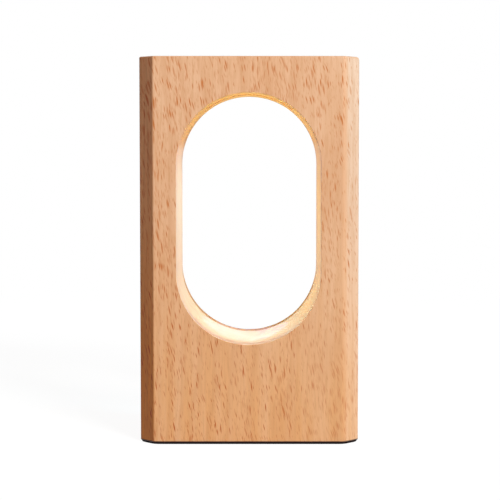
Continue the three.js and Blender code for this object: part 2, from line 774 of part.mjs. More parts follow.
// Panel in the back, moulded in one piece with the shelf, the board posts and the spring's seat.
function addPanel() {
  const plate = runningBack(
    roundedRectangle(
      [-panelWidth / 2, panelWidth / 2],
      [portAxisZ - panelHeight / 2, portAxisZ + panelHeight / 2],
      panelHeight / 2,
      arcSegments / 2,
    ),
    panelBackY,
    panelFaceY,
  );
  const shelfBottomZ = shelfTopZ - shelfThickness;
  const overlap = panelThickness / 2;
  const shelf = boxBetween(
    [-shelfHalfWidth, shelfHalfWidth],
    [boardInnerY, panelBackY + overlap],
    [shelfBottomZ, shelfTopZ],
  );
  const ledge = boxBetween(
    [-shelfHalfWidth, shelfHalfWidth],
    [boardInnerY, boardInnerY + ledgeLength],
    [shelfBottomZ, boardBottomZ],
  );
  const posts = [leftPostX, rightPostX].map((x) =>
    cylinderAlongZ(postRadius, shelfBottomZ + shelfThickness / 2, boardBottomZ, x, postY),
  );
  const seat = boxBetween(
    [buttonX - seatHalfWidth, buttonX + seatHalfWidth],
    [seatFrontY, seatRearY],
    [shelfBottomZ, portAxisZ + seatAboveAxis],
  );
  const usbHole = roundedRectangle(
    [usbX - usbWidth / 2 - fitGap, usbX + usbWidth / 2 + fitGap],
    [portAxisZ - usbHeight / 2 - fitGap, portAxisZ + usbHeight / 2 + fitGap],
    usbHeight / 2,
  );
  const panel = cutFrom(
    joined(plate, shelf, ledge, ...posts, seat),
    runningBack(usbHole, panelBackY - overrun, panelFaceY + overrun),
    cylinderAlongY(capRadius + fitGap, panelBackY - fitGap, panelFaceY + overrun, buttonX, portAxisZ),
    cylinderAlongY(stemRadius + fitGap, seatFrontY - overrun, seatRearY + overrun, buttonX, portAxisZ),
    ...[leftPostX, rightPostX].map((x) => boardScrewHole(x)),
    ...panelScrewHoles(fitGap),
  );
  addMesh("rear_panel", panel, finishes.blackPlastic);
  [-panelScrewX, panelScrewX].forEach((x, i) => {
    const screw = countersunkScrew(panelScrew).translate(x, panelScrewFaceY, portAxisZ);
    addMesh(`panel_screw_${i + 1}`, screw, finishes.steel);
  });
}

function boardScrewHole(x) {
  const bottom = boardTopZ - boardScrewLength - fitGap;
  return cylinderAlongZ(boardScrewRadius + fitGap, bottom, boardTopZ + overrun, x, postY);
}

// Driver board on the posts, with its two screws and the parts soldered to it.
function addBoard() {
  const board = cutFrom(
    boxBetween([-boardHalfWidth, boardHalfWidth], [boardInnerY, boardRearY], [boardBottomZ, boardTopZ]),
    boxBetween(
      [buttonX - notchHalfWidth, buttonX + notchHalfWidth],
      [notchFrontY, boardRearY + overrun],
      [boardBottomZ - overrun, boardTopZ + overrun],
    ),
    ...[leftPostX, rightPostX].map((x) => boardScrewHole(x)),
  );
  addMesh("driver_board", board, finishes.board);
  [leftPostX, rightPostX].forEach((x, i) => {
    const screw = turned([
      [0, -boardScrewLength],
      [boardScrewRadius, -boardScrewLength + boardScrewRadius],
      [boardScrewRadius, closeGap],
      [boardScrewHeadRadius, closeGap],
      [boardScrewHeadRadius, boardScrewHeadHeight - boardScrewHeadHeight / 3],
      [boardScrewHeadRadius / 2, boardScrewHeadHeight],
      [0, boardScrewHeadHeight],
    ]);
    const recesses = crossRecess(boardScrewHeadRadius, boardScrewHeadHeight);
    const tools = recesses.map((bar) => bar.translate(0, boardScrewHeadHeight, 0));
    const placed = cutFrom(screw, ...tools).rotateX(Math.PI / 2).translate(x, postY, boardTopZ);
    addMesh(`board_screw_${i + 1}`, placed, finishes.steel);
  });
  for (const { name, place, size, color } of boardPartShares) {
    const height = boardThickness * size[2];
    const part = new THREE.BoxGeometry(boardHalfWidth * size[0], boardLength * size[1], height);
    const y = boardInnerY + boardLength * place[1];
    part.translate(boardHalfWidth * place[0], y, boardTopZ + closeGap / 2 + height / 2);
    addMesh(name, part, { color, roughness: 0.5, metalness: 0 });
  }
}

// Charging inlet: a drawn shell, open at its mouth, with the contact tongue inside.
function addInlet() {
  const rearY = usbMouthY - usbDepth;
  const zs = [portAxisZ - usbHeight / 2, portAxisZ + usbHeight / 2];
  const xs = [usbX - usbWidth / 2, usbX + usbWidth / 2];
  const cornerRadius = usbHeight * usbCornerShare;
  const outside = roundedRectangle(xs, zs, cornerRadius);
  const inside = roundedRectangle(
    [xs[0] + usbWall, xs[1] - usbWall],
    [zs[0] + usbWall, zs[1] - usbWall],
    cornerRadius - usbWall,
  );
  const shell = cutFrom(
    runningBack(outside, rearY, usbMouthY).translate(0, 0, closeGap / 2),
    runningBack(inside, rearY + usbWall, usbMouthY + overrun).translate(0, 0, closeGap / 2),
  );
  addMesh("usb_shell", shell, finishes.steel);
  const tongue = boxBetween(
    [usbX - tongueWidth / 2, usbX + tongueWidth / 2],
    [rearY + usbWall + closeGap, usbMouthY - tongueSetback],
    [portAxisZ - tongueThickness / 2, portAxisZ + tongueThickness / 2],
  );
  addMesh("usb_tongue", tongue, finishes.blackPlastic);
}

// A socket near the board's inner edge, open at its top, and the plug in it.
function addSocket(name, x) {
  const wall = plugSocketWall;
  const xs = [x - plugSocketWidth / 2, x + plugSocketWidth / 2];
  const ys = [plugSocketFrontY, plugSocketRearY];
  const inside = ([from, to], margin) => [from + margin, to - margin];
  const socket = cutFrom(
    boxBetween(xs, ys, [plugSocketBottomZ, plugSocketTopZ]),
    boxBetween(inside(xs, wall), inside(ys, wall), [plugSocketBottomZ + wall, plugSocketTopZ + overrun]),
  );
  addMesh(`${name}_socket`, socket, finishes.whitePlastic);
  const margin = wall + fitGap;
  const plug = boxBetween(inside(xs, margin), inside(ys, margin), [plugSocketBottomZ + margin, plugTopZ]);
  addMesh(`${name}_plug`, plug, finishes.whitePlastic);
}

// Push button in the panel, its return spring, and the switch that it presses.
function addButton() {
  const capFaceY = panelFaceY + capProud;
  const edgeMiddle = capEdgeRadius * capEdgeShare;
  const button = turned([
    [0, stemFrontY],
    [stemRadius, stemFrontY],
    [stemRadius, flangeFrontY],
    [flangeRadius, flangeFrontY],
    [flangeRadius, flangeRearY],
    [capRadius, flangeRearY],
    [capRadius, capFaceY - capEdgeRadius],
    [capRadius - edgeMiddle, capFaceY - edgeMiddle],
    [capRadius - capEdgeRadius, capFaceY],
    [0, capFaceY],
  ]);
  addMesh("power_button", button.translate(buttonX, 0, portAxisZ), finishes.blackPlastic);
  addMesh("button_spring", coilSpring(), finishes.steel);

  const switchZ = boardTopZ + closeGap / 2;
  const plungerFrontY = plungerRearY - plungerLength;
  const bore = cylinderAlongY(
    plungerRadius + fitGap,
    plungerFrontY - plungerBoreSlack,
    switchRearY + overrun,
    buttonX,
    portAxisZ,
  );
  const body = boxBetween(
    [buttonX - switchWidth / 2, buttonX + switchWidth / 2],
    [switchRearY - switchLength, switchRearY],
    [switchZ, switchZ + switchHeight],
  );
  addMesh("switch_body", cutFrom(body, bore), finishes.blackPlastic);
  const plunger = cylinderAlongY(plungerRadius, plungerFrontY, plungerRearY, buttonX, portAxisZ);
  addMesh("switch_plunger", plunger, finishes.whitePlastic);
}

// The return spring round the stem, from the seat to the flange, as one unbroken coil.
function coilSpring() {
  const coil = new THREE.Curve();
  const startY = seatRearY + closeGap + springWireRadius;
  const rise = springLength - 2 * springWireRadius;
  coil.getPoint = (t, target = new THREE.Vector3()) => {
    const angle = 2 * Math.PI * springTurns * t;
    const x = buttonX + springMeanRadius * Math.cos(angle);
    const z = portAxisZ + springMeanRadius * Math.sin(angle);
    return target.set(x, startY + rise * t, z);
  };
  const steps = springTurns * springStepsPerTurn;
  const options = { steps, extrudePath: coil, bevelEnabled: false, curveSegments: 1 };
  return new THREE.ExtrudeGeometry(wireSection(springWireRadius, springSides), options);
}

addBoards();
addLight();
addLeads();
addBase();
addBattery();
addPanel();
addBoard();
addInlet();
addSocket("battery", batterySocketX);
addSocket("led", ledSocketX);
addButton();

export default lamp;
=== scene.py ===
import contextlib
import math

import bmesh
import bpy
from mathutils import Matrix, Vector


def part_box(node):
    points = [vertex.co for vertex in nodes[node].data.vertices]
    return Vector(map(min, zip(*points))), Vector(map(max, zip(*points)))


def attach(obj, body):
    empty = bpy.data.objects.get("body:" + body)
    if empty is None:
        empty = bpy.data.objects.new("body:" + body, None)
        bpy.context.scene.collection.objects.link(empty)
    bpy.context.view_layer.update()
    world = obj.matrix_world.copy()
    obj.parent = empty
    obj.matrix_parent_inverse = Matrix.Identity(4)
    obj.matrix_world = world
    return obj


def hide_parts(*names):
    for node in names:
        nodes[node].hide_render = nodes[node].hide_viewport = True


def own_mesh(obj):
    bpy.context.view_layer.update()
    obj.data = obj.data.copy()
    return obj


# The looks of a beech block lamp with a lit window. Lengths are in millimetres, and MM turns them into
# metres. X runs to the right, Y to the back and Z up.

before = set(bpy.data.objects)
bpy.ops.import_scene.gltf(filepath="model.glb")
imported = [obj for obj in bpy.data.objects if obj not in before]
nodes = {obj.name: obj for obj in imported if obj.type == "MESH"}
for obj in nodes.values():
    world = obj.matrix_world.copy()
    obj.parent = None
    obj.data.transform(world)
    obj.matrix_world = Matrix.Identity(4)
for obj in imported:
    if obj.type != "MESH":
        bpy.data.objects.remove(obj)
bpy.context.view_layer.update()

MM = 0.001
QUARTER = math.pi / 2
WELD = 1e-7  # points closer than this are one, in metres
scene = bpy.context.scene
scene.view_settings.view_transform = "Standard"


def box(node):
    """A solid's lowest and highest corner in millimetres, to the micrometre."""
    return [[round(value / MM, 3) for value in corner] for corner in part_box(node)]


def middle(node):
    return [round((low + high) / 2, 3) for low, high in zip(*box(node))]


# Block of wood
(_, _, WOOD_BOTTOM_Z), (HALF_WIDTH, HALF_DEPTH, TOP_Z) = box("rear_board")
CORNER_CHAMFER = 6.6

# Its arrises, which the solids leave sharp
ARRIS = 0.6
WORN_ARRIS = 1.7  # at the right end of the top
WORN_FROM_X = 40.0
BOTTOM_ARRIS = 0.5
CORNER_ROUND = 1.3
CORNER_TAPER = 0.7  # how fast a corner's round shrinks as the top arris draws in
SOFT_ROUND = 3.0  # more at the arris between the front and the right corner

# Steps of round outlines
ARC_STEPS = 96  # of the window's half circles
SECTOR_STEPS = 48  # of the groove and the lead channel
END_STEPS = 40  # of the rear panel's half-round ends
CORNER_STEPS = 6
ROUND_STEPS = 5  # of a rounded arris
HOLE_SIDES = 20
MOUTH_SIDES = 100

# Window
WINDOW_RADIUS = 33.6
ARCH_Z = 129.7
LOWER_ARC_Z = 80.1
WINDOW_ARRIS = 0.15
WINDOW_X = -0.25  # the cut runs a little to the left of the middle

# Groove, lead channel and landing
GROOVE_HALF_WIDTH = 6.0
GROOVE_RADIUS = 41.1
GROOVE_ANGLE = math.radians(38.08)  # it ends close to the light's tray
CHANNEL_RADII = (36.2, 40.8)
CHANNEL_DEPTH = 4.6
CHANNEL_FROM = math.radians(54)  # where the channel leaves the groove, counted up from the right
LANDING_Z = 23.3
LANDING_SLACK = 0.05  # keeps the landing's end off the channel's side

# Cavity, cover rebate, and the rear panel's seat and opening
CAVITY_HALF_X = 40.0
CAVITY_Y = (-23.4, 22.0)
CAVITY_ROOF_Z = 28.3
CAVITY_ROUND = 3.0
BOSS_INNER = (35.6, 15.0)  # from the middle, in X and Y
BOSS_ROUND = 1.5
REBATE_INSET = 4.5
REBATE_TOP_Z = box("base_cover")[1][2]
REBATE_ROUND = 0.4
PANEL_Z = middle("rear_panel")[2]
SEAT_FLAT = 19.5  # half the straight part of the panel and its seat
SEAT_RADIUS = 10.5
PANEL_BACK_Y = 27.3
OPENING_HALF = (23.0, 7.8)  # half its width and half its height
OPENING_ROUND = 3.0
PAST = 3.0  # how far a cut runs past the face that it starts from
OPENING_PAST = 1.0  # less, so that it ends inside the seat

# Rear panel and its screws; a hole is a radius and where its blind end lies
COVER_SCREW = (40.9, 20.1)  # from the middle, in X and Y
COVER_SCREW_HOLE = (1.8, 13.3)
PANEL_SCREW_X = middle("panel_screw_2")[0]
PANEL_SCREW_HOLE = (1.4, 23.3)
PANEL_RADIUS = 10.2
PANEL_FACE_Y = box("rear_panel")[1][1]
PANEL_ROUND = 0.45
ENVELOPE_SLACK = 0.05  # keeps the panel's envelope off its side
MOUTH_ROUND = 0.3
USB_X = middle("usb_shell")[0]
USB_HALF = (4.77, 1.93)  # half its width and half its height
USB_CORNER = 1.6
USB_CORNER_STEPS = 16
SCREW_FACE_Y = box("panel_screw_2")[1][1]
SCREW_HEAD_RADIUS = 1.94
SCREW_HEAD_ROUND = 0.25
SCREW_HEAD_START_Y = 20.0
SCREW_HEAD_SIDES = 64

# Push button and switch plunger; a profile is a radius and a depth for each point
BUTTON_X = middle("power_button")[0]
BUTTON_SIDES = 96
BUTTON_STEM = [(1.45, 17.5), (1.6, 17.65), (1.6, 26.0)]
BUTTON_COLLAR = [(5.3, 26.0), (5.4, 26.1), (5.4, 26.9), (5.3, 27.0), (4.5, 27.0)]
BUTTON_DISH = [(3.4, 29.76), (2.9, 29.68), (2.3, 29.59), (1.6, 29.51), (0.9, 29.46), (0.3, 29.45)]
CAP_RADIUS = 4.5
CAP_FACE_Y = box("power_button")[1][1]
CAP_ROUND = 0.6
CAP_START_Y = 28.0
CAP_HOLE_RADIUS = 4.8

# Return spring of the button
SPRING_START_Y = 20.2
SPRING_LENGTH = 5.6
SPRING_RADIUS = 2.6
WIRE_RADIUS = 0.3
WIRE_SIDES = 12
END_PITCH = 0.62  # rise of the closed first and last turn
SPRING_TURNS = 5
TURN_STEPS = 36

# Base pad; its profile is how far it draws in, and a height
PAD_INSET = 0.4
PAD_ROUND = 6.0
PAD_PROFILE = ((0.3, 0.0), (0.1, 0.05), (0.0, 0.2), (0.0, WOOD_BOTTOM_Z))

# LED strip: the angle from one chip to the next and the radius at which they sit
CHIP_STEP = math.radians(9.09)
CHIP_RADIUS = 39.0

# Battery cell: its axis in Y and Z, and where the film ends on its ends
CELL_AXIS = middle("battery_cell")[1:]
CELL_FILM_X = (32.2, 32.3)
CELL_FILM_RADIUS = (7.2, 7.0)

# Beech: each board's node, piece, pith in X and Y, and shift of its grain
BOARDS = (
    ("front_board", "beech_front", (34.0, 96.0), (0.0, 0.0, 0.0)),
    ("rear_board", "beech_rear", (-22.0, -120.0), (311.0, 97.0, 53.0)),
)
RING_WIDTH = 3.1
RING_WANDER = 22.0  # how far the rings sway from left to right
RING_RIPPLE = 3.0  # and from front to back
RAY_SLANT = 0.16  # sideways for each millimetre of height
RAY_WEAVE = 6.0  # how far their slant sways
RAYS_THIN_OUT = -0.0012  # crowding for each millimetre to the right
RAY_POINTED = 1.5  # exponent of the cells' metric: 2 is round, 1 is a diamond
FAINTEST_RAY = 0.3  # as a share of its strength

# Rays in three sizes: cell width, depth and height, smallest and largest reach in cells, strength
RAYS = (
    (1.15, 4.5, 9.4, 0.24, 0.41, 1.0),
    (0.9, 3.5, 7.0, 0.22, 0.39, 1.0),
    (0.65, 3.0, 4.4, 0.2, 0.36, 0.65),
)

# Where the wood's marks, painted shades and painted highlights run from none to full
WARM_Z = (120.0, 0.0)
LEFT_SHADE_X = (-43.9, -45.0)
RIGHT_HIGHLIGHT_X = (43.2, 46.5)
FOOT_SHADE_Z = (1.7, 1.2)
BACK_SHADE_Y, BACK_SHADE_Z = (20.5, 23.5), (82.0, 66.0)
LIP_SHADE_X, LIP_SHADE_Y, LIP_SHADE_Z = (25.0, 12.0), (-17.5, -22.5), (70.0, 58.0)
ARCH_END_GRAIN_Z = (130.0, 143.0)
WALL_MARGIN = 0.05  # slack round the window's wall
MARGIN = 0.5  # slack round the arch, and in from the front and the back face

# Roughness of the lacquer, and of the places where it is dull
LACQUER = (0.3, 0.38)
DULL_ARCH = 0.62
DULL_WALL = 0.46
# for the band of painted shade by the window's back edge
DULL_BACK_SHADE = 0.9
DULL_LIP = 0.45

# Solids with their arrises eased, by how much
EASED = {
    "battery_cell": 0.5, "battery_cradle": 0.3, "battery_foam": 0.2, "cradle_tape": 0.1,
    "battery_socket": 0.15, "battery_plug": 0.2, "led_socket": 0.15, "led_plug": 0.2, "capacitor_1": 0.1,
    "capacitor_2": 0.1, "charge_chip": 0.1, "driver_chip": 0.1, "inductor": 0.3, "diffuser": 0.2,
    "led_strip": 0.08, "usb_shell": 0.05, "usb_tongue": 0.15, "switch_plunger": 0.15,
    "tab_positive": 0.06, "tab_negative": 0.06,
}
EASED.update({name: 0.12 for name in nodes if name.startswith("led_chip")})
FLAT = math.radians(1)  # faces that turn less than this are one
SHARP = math.radians(40)  # arrises that turn more than this are eased
SMOOTH = math.radians(32)  # arrises that turn less than this are shaded as one surface
SLIVER = 0.002  # faces thinner than this are taken up

# Floor, and how far from the middle its shading fades out
FLOOR_HALF = 4000.0
FLOOR_GREY = (0.4, 0.4, 0.4, 1.0)
FLOOR_FADE = (700.0, 300.0)
FLOOR_SHADE = 0.14  # share of plain shading near the lamp
FLOOR_GLOW = 0.93  # share of white near the lamp
WHITE = (1.0, 1.0, 1.0, 1.0)
AMBIENT = 0.05  # the world's strength on the object

# Studio lamps: bearing from the front, counted to the right, height angle and distance; size, watts, and
# whether gloss shows it
STUDIO = (
    ("key", (30, 26, 2200), (620, 620), 48.3, True),
    ("side", (93, 5, 1200), (150, 250), 1.2, True),
    ("back", (215, 12, 1400), (600, 600), 6.0, False),
    ("rear", (180, 3, 1400), (300, 300), 5.5, False),
)
STUDIO_AIM = (0, 0, 90)

# Lamps in the window for the strip's light: place, aim, size, watts, colour and spread in degrees
WINDOW_LAMPS = (
    ("glow_left", (8, 0, 157), (-27, 0, 45), (24, 9), 0.022, (0.34, 1.08, 1.38), 92),
    ("glow_right", (-8, 0, 157), (28, 0, 60), (24, 9), 0.0125, (0.7, 0.86, 0.12), 84),
    ("bounce", (0, 0, 100), (0, 0, 160), (30, 50), 0.0125, (0.76, 0.84, 0.06), 96),
)

# Spot straight down for the pool of light on the window's floor
POOL_PLACE = (-2.8, 7.6, 160.0)
POOL_ANGLE = math.radians(22.9)
POOL_SCALE = (1.0, 1.05, 1.0)  # makes its edge oval
POOL_BLEND = 0.08
POOL_SOURCE = 1.5  # radius of the lamp itself
POOL_WATTS = 0.44
POOL_COLOUR = (0.4, 0.66, 2.15)

# Camera, in front of the lamp and tilted down a little
CAMERA_LENS = 104.95
CAMERA_SENSOR = 36.0
CAMERA_SHIFT = (-0.0136, -0.039)
CAMERA_PLACE = (3.5, -702.0, 138.0)
CAMERA_TILT = math.radians(3.259)


class Paint:
    """The nodes of a material or the world, as nested calls: each adds a node and returns its socket."""

    def __init__(self, name, owners=bpy.data.materials):
        self.owner = owners.new(name)
        self.owner.use_nodes = True
        self.tree = self.owner.node_tree
        self.tree.nodes.clear()

    def node(self, kind, values=None, **settings):
        node = self.tree.nodes.new(kind)
        for key, value in settings.items():
            setattr(node, key, value)
        for key, value in (values or {}).items():
            socket = node.inputs[key]
            if isinstance(value, bpy.types.NodeSocket):
                self.tree.links.new(value, socket)
            else:
                socket.default_value = value
        return node

    def place(self):
        """The point on the surface, in millimetres of the shared frame."""
        return self.scaled(self.node("ShaderNodeTexCoord").outputs["Object"], (1 / MM,) * 3)

    def facing(self):
        """How far the surface faces along each axis, either way."""
        return [self.absolute(part) for part in self.parts(self.node("ShaderNodeTexCoord").outputs["Normal"])]

    def seen(self):
        """1 for what the camera sees, straight, reflected or through glass."""
        path = self.node("ShaderNodeLightPath").outputs
        return self.most(path["Is Camera Ray"], path["Is Glossy Ray"], path["Is Transmission Ray"])

    def scaled(self, vector, factors):
        return self.node("ShaderNodeVectorMath", {0: vector, 1: factors}, operation="MULTIPLY").outputs[0]

    def moved(self, vector, by):
        return self.node("ShaderNodeVectorMath", {0: vector, 1: by}, operation="ADD").outputs[0]

    def parts(self, vector):
        return self.node("ShaderNodeSeparateXYZ", {0: vector}).outputs[0:3]

    def joined(self, x, y, z):
        return self.node("ShaderNodeCombineXYZ", {0: x, 1: y, 2: z}).outputs[0]

    def math(self, operation, a, b=0.0, c=0.0):
        return self.node("ShaderNodeMath", {0: a, 1: b, 2: c}, operation=operation).outputs[0]

    def plus(self, a, b):
        return self.math("ADD", a, b)

    def minus(self, a, b):
        return self.math("SUBTRACT", a, b)

    def over(self, a, b):
        return self.math("DIVIDE", a, b)

    def below(self, a, b):
        return self.math("LESS_THAN", a, b)

    def absolute(self, a):
        return self.math("ABSOLUTE", a)

    def times(self, first, *others):
        for other in others:
            first = self.math("MULTIPLY", first, other)
        return first

    def most(self, first, *others):
        for other in others:
            first = self.math("MAXIMUM", first, other)
        return first

    def reach(self, a, b):
        """The length of a pair."""
        return self.math("SQRT", self.plus(self.times(a, a), self.times(b, b)))

    def swung(self, share, width):
        """A share from 0 to 1 as a swing to both sides of 0."""
        return self.math("MULTIPLY_ADD", share, width, -width / 2)

    def noise(self, place, waves, detail=2.0, roughness=0.5):
        """Noise with this many waves in a millimetre, one number or one for each axis."""
        if isinstance(waves, tuple):
            place, waves = self.scaled(place, waves), 1.0
        values = {"Vector": place, "Scale": waves, "Detail": detail, "Roughness": roughness}
        return self.node("ShaderNodeTexNoise", values).outputs["Fac"]

    def cells(self, place, randomness=1.0, exponent=None):
        """The distance from the middle of the nearest cell, and that cell's random colour."""
        values = {"Vector": place, "Scale": 1.0, "Randomness": randomness}
        metric = "EUCLIDEAN"
        if exponent is not None:
            values["Exponent"] = exponent
            metric = "MINKOWSKI"
        outputs = self.node("ShaderNodeTexVoronoi", values, distance=metric).outputs
        return outputs["Distance"], outputs["Color"]

    def spread(self, value, low, high, to_low=0.0, to_high=1.0, smooth=True):
        """A value between low and high as one between two others, held at its ends."""
        kind = "SMOOTHSTEP" if smooth else "LINEAR"
        values = {"Value": value, "From Min": low, "From Max": high, "To Min": to_low, "To Max": to_high}
        return self.node("ShaderNodeMapRange", values, interpolation_type=kind, clamp=True).outputs[0]

    def mixed(self, share, a, b, blend="MIX"):
        values = {0: share, 6: a, 7: b}
        return self.node("ShaderNodeMix", values, data_type="RGBA", blend_type=blend).outputs[2]

    def bump(self, height, strength, distance):
        values = {"Height": height, "Strength": strength, "Distance": distance * MM}
        return self.node("ShaderNodeBump", values).outputs[0]

    def surface(self, **values):
        """The material with one shader, its sockets named in small letters and underscores."""
        named = {key.replace("_", " ").title().replace("Ior", "IOR"): value for key, value in values.items()}
        return self.finish(self.node("ShaderNodeBsdfPrincipled", named).outputs[0])

    def finish(self, shader, output="ShaderNodeOutputMaterial"):
        self.node(output, {0: shader})
        return self.owner


def tone(red, green, blue):
    """A colour given as it looks on screen, from 0 to 255, as the shader's linear values."""
    def linear(value):
        value /= 255
        return value / 12.92 if value <= 0.04045 else ((value + 0.055) / 1.055) ** 2.4
    return (linear(red), linear(green), linear(blue), 1.0)


def tint(red, green, blue):
    """Factors that a colour is multiplied by."""
    return (red, green, blue, 1.0)


def darker(colour, share):
    return tint(*(value * share for value in colour[:3]))


# Wood
def wood_rays(p, x, y, z, grain, shift):
    """Ray flecks: tall thin lenses on the face, patches on the sides and short lines on the end grain."""
    slanted = p.plus(p.plus(x, p.times(z, RAY_SLANT)), p.swung(p.noise(grain, (0.05, 0.05, 0.03)), RAY_WEAVE))
    crowd = p.math("MULTIPLY_ADD", x, RAYS_THIN_OUT, p.noise(grain, (0.025, 0.025, 0.02), detail=1.0))
    chain = p.spread(p.noise(grain, (0.3, 0.15, 0.035), detail=1.0), 0.35, 0.62, 0.7, 1.2)
    plenty = p.times(p.spread(crowd, 0.3, 0.7, 0.8, 1.1), chain)
    layers = []
    for wide, deep, tall, smallest, largest, strength in RAYS:
        cells = p.joined(p.over(slanted, wide), p.over(y, deep), p.over(z, tall))
        near, chance = p.cells(p.moved(cells, shift), exponent=RAY_POINTED)
        chances = p.parts(chance)
        reach = p.times(p.spread(chances[1], 0.0, 1.0, smallest, largest, smooth=False), plenty)
        shown = p.spread(chances[2], 0.0, 1.0, strength * FAINTEST_RAY, strength, smooth=False)
        layers.append(p.times(p.spread(p.over(near, reach), 1.15, 0.55), shown))
    return p.most(*layers)


def beech(name, pith, shift):
    """Beech in three dimensions: growth rings round a pith, ray flecks, soft streaks and a satin lacquer."""
    p = Paint(name)
    place = p.place()
    grain = p.moved(place, shift)
    x, y, z = p.parts(place)
    facing_x, facing_y, facing_z = p.facing()
    frontal = p.spread(facing_x, 0.75, 1.0, 1.0, 0.45)  # less on the sides
    upright = p.spread(facing_z, 0.15, 0.6, 1.0, 0.15)  # less on the end grain
    from_middle = p.absolute(p.minus(x, WINDOW_X))
    in_window = p.times(p.below(from_middle, WINDOW_RADIUS + WALL_MARGIN), p.below(facing_y, 0.5))

    # Growth rings, bent by slow noise
    wander = p.swung(p.noise(grain, (0.012, 0.012, 0.009), detail=1.0), RING_WANDER)
    ripple = p.swung(p.noise(grain, (0.09, 0.09, 0.03)), RING_RIPPLE)
    from_pith = p.reach(p.plus(p.minus(x, pith[0]), wander), p.plus(p.minus(y, pith[1]), ripple))
    ring = p.math("FRACT", p.over(from_pith, RING_WIDTH))
    late = p.times(p.spread(ring, 0.45, 0.92), p.spread(ring, 1.0, 0.93))

    # Ground colour, warmer to the foot, with streaks, late wood and fibres
    streak = p.noise(grain, (0.16, 0.16, 0.008), detail=3.0, roughness=0.6)
    fine = p.noise(grain, (1.1, 1.1, 0.09), detail=3.0, roughness=0.65)
    cloud = p.noise(grain, (0.02, 0.02, 0.012))
    base = p.mixed(p.spread(cloud, 0.3, 0.7), tone(227, 173, 130), tone(234, 185, 145))
    base = p.mixed(p.spread(z, *WARM_Z, 0.0, 0.85), base, tone(230, 166, 107))
    base = p.mixed(p.spread(streak, 0.35, 0.7, 0.0, 0.4), base, tone(241, 194, 156))
    base = p.mixed(p.times(late, 0.25), base, tone(208, 145, 97))
    fibre = p.times(p.spread(fine, 0.42, 0.75, 0.0, 0.55), p.spread(upright, 0.0, 1.0, 0.4, 1.0))
    base = p.mixed(fibre, base, tone(209, 147, 96))

    # Rays, fainter on the sides and the end grain, by the lower right corner and in the window
    calm = p.times(p.spread(x, 0.0, 35.0, 0.0, 0.5), p.spread(z, 80.0, 30.0))
    calm = p.most(calm, p.times(in_window, p.spread(z, 115.0, 140.0, 0.3, 0.85)))
    rays = p.times(wood_rays(p, x, y, z, grain, shift), frontal, upright, p.minus(1.0, calm))
    base = p.mixed(rays, base, p.mixed(p.spread(z, 125.0, 25.0), tone(196, 110, 44), tone(182, 84, 16)))

    # Painted shade by the left corner, deeper at its foot, streaked, and weaker to the back
    left_shade = p.mixed(p.spread(z, 150.0, 20.0), tint(0.9, 0.68, 0.52), tint(0.9, 0.54, 0.18))
    left_shade_streak = p.spread(p.noise(grain, (0.9, 0.9, 0.02)), 0.4, 0.62)
    left_shade = p.mixed(p.times(left_shade_streak, 0.3), left_shade, tint(0.5, 0.36, 0.2))
    at_left_shade = p.times(p.spread(x, *LEFT_SHADE_X), p.spread(y, -20.0, 22.0, 1.0, 0.45))
    base = p.mixed(at_left_shade, base, left_shade, "MULTIPLY")

    # Painted light: paler and cooler to the right, and a painted highlight on the right corner
    base = p.mixed(p.spread(x, 0.0, 44.0, 0.0, 0.65), base, tint(1.03, 1.09, 1.15), "MULTIPLY")
    right_highlight = p.mixed(p.spread(z, 160.0, 20.0), tint(0.9, 1.06, 1.23), tint(1.0, 1.1, 1.27))
    at_right_highlight = p.times(p.spread(x, *RIGHT_HIGHLIGHT_X), p.spread(upright, 0.0, 1.0, 0.3, 1.0))
    base = p.mixed(at_right_highlight, base, right_highlight, "MULTIPLY")

    # Painted shade along the foot, just above the pad
    base = p.mixed(p.spread(z, *FOOT_SHADE_Z), base, tone(40, 8, 1))

    # Painted shade: a dull brown band along the back edge of the window's floor
    back_edge_shade = p.times(p.spread(y, *BACK_SHADE_Y), p.spread(z, *BACK_SHADE_Z), in_window)
    base = p.mixed(p.times(back_edge_shade, 0.7), base, tone(166, 104, 62))

    # Painted shade with a cool cast on the floor's front lip
    lip_shade = p.times(p.spread(y, *LIP_SHADE_Y), p.spread(z, *LIP_SHADE_Z), in_window, p.spread(x, *LIP_SHADE_X))
    base = p.mixed(lip_shade, base, tint(0.86, 0.82, 1.08), "MULTIPLY")

    # Satin lacquer, duller on the end grain in the arch, the right wall, the band of painted shade and the
    # painted shade on the lip
    from_arch = p.reach(x, p.minus(z, ARCH_Z))
    under_arch = p.times(p.spread(z, *ARCH_END_GRAIN_Z), p.below(from_arch, WINDOW_RADIUS + MARGIN))
    right_wall = p.times(in_window, p.spread(x, 8.0, 30.0), p.below(p.absolute(y), HALF_DEPTH - MARGIN))
    rough = p.most(p.spread(fine, 0.3, 0.8, *LACQUER), p.times(under_arch, DULL_ARCH),
                   p.times(right_wall, DULL_WALL),
                   p.times(back_edge_shade, DULL_BACK_SHADE), p.times(lip_shade, DULL_LIP))
    height = p.minus(p.times(fine, p.spread(upright, 0.0, 1.0, 0.05, 0.3)), rays)
    normal = p.bump(p.times(height, p.minus(1.0, under_arch)), 0.25, 0.04)
    return p.surface(base_color=base, roughness=rough, specular_ior_level=0.25, normal=normal)


# Other materials
def grained(name, colour, roughness, grain=0.35, depth=0.02, shine=0.5):
    """A moulded or coated surface with a fine grain."""
    p = Paint(name)
    place = p.place()
    fine = p.noise(place, 1 / grain, detail=3.0)
    base = p.mixed(p.spread(p.noise(place, 0.08), 0.3, 0.7), colour, darker(colour, 0.86))
    rough = p.spread(fine, 0.3, 0.7, roughness - 0.05, roughness + 0.05)
    return p.surface(base_color=base, roughness=rough, specular_ior_level=shine,
                     normal=p.bump(fine, 0.3, depth))


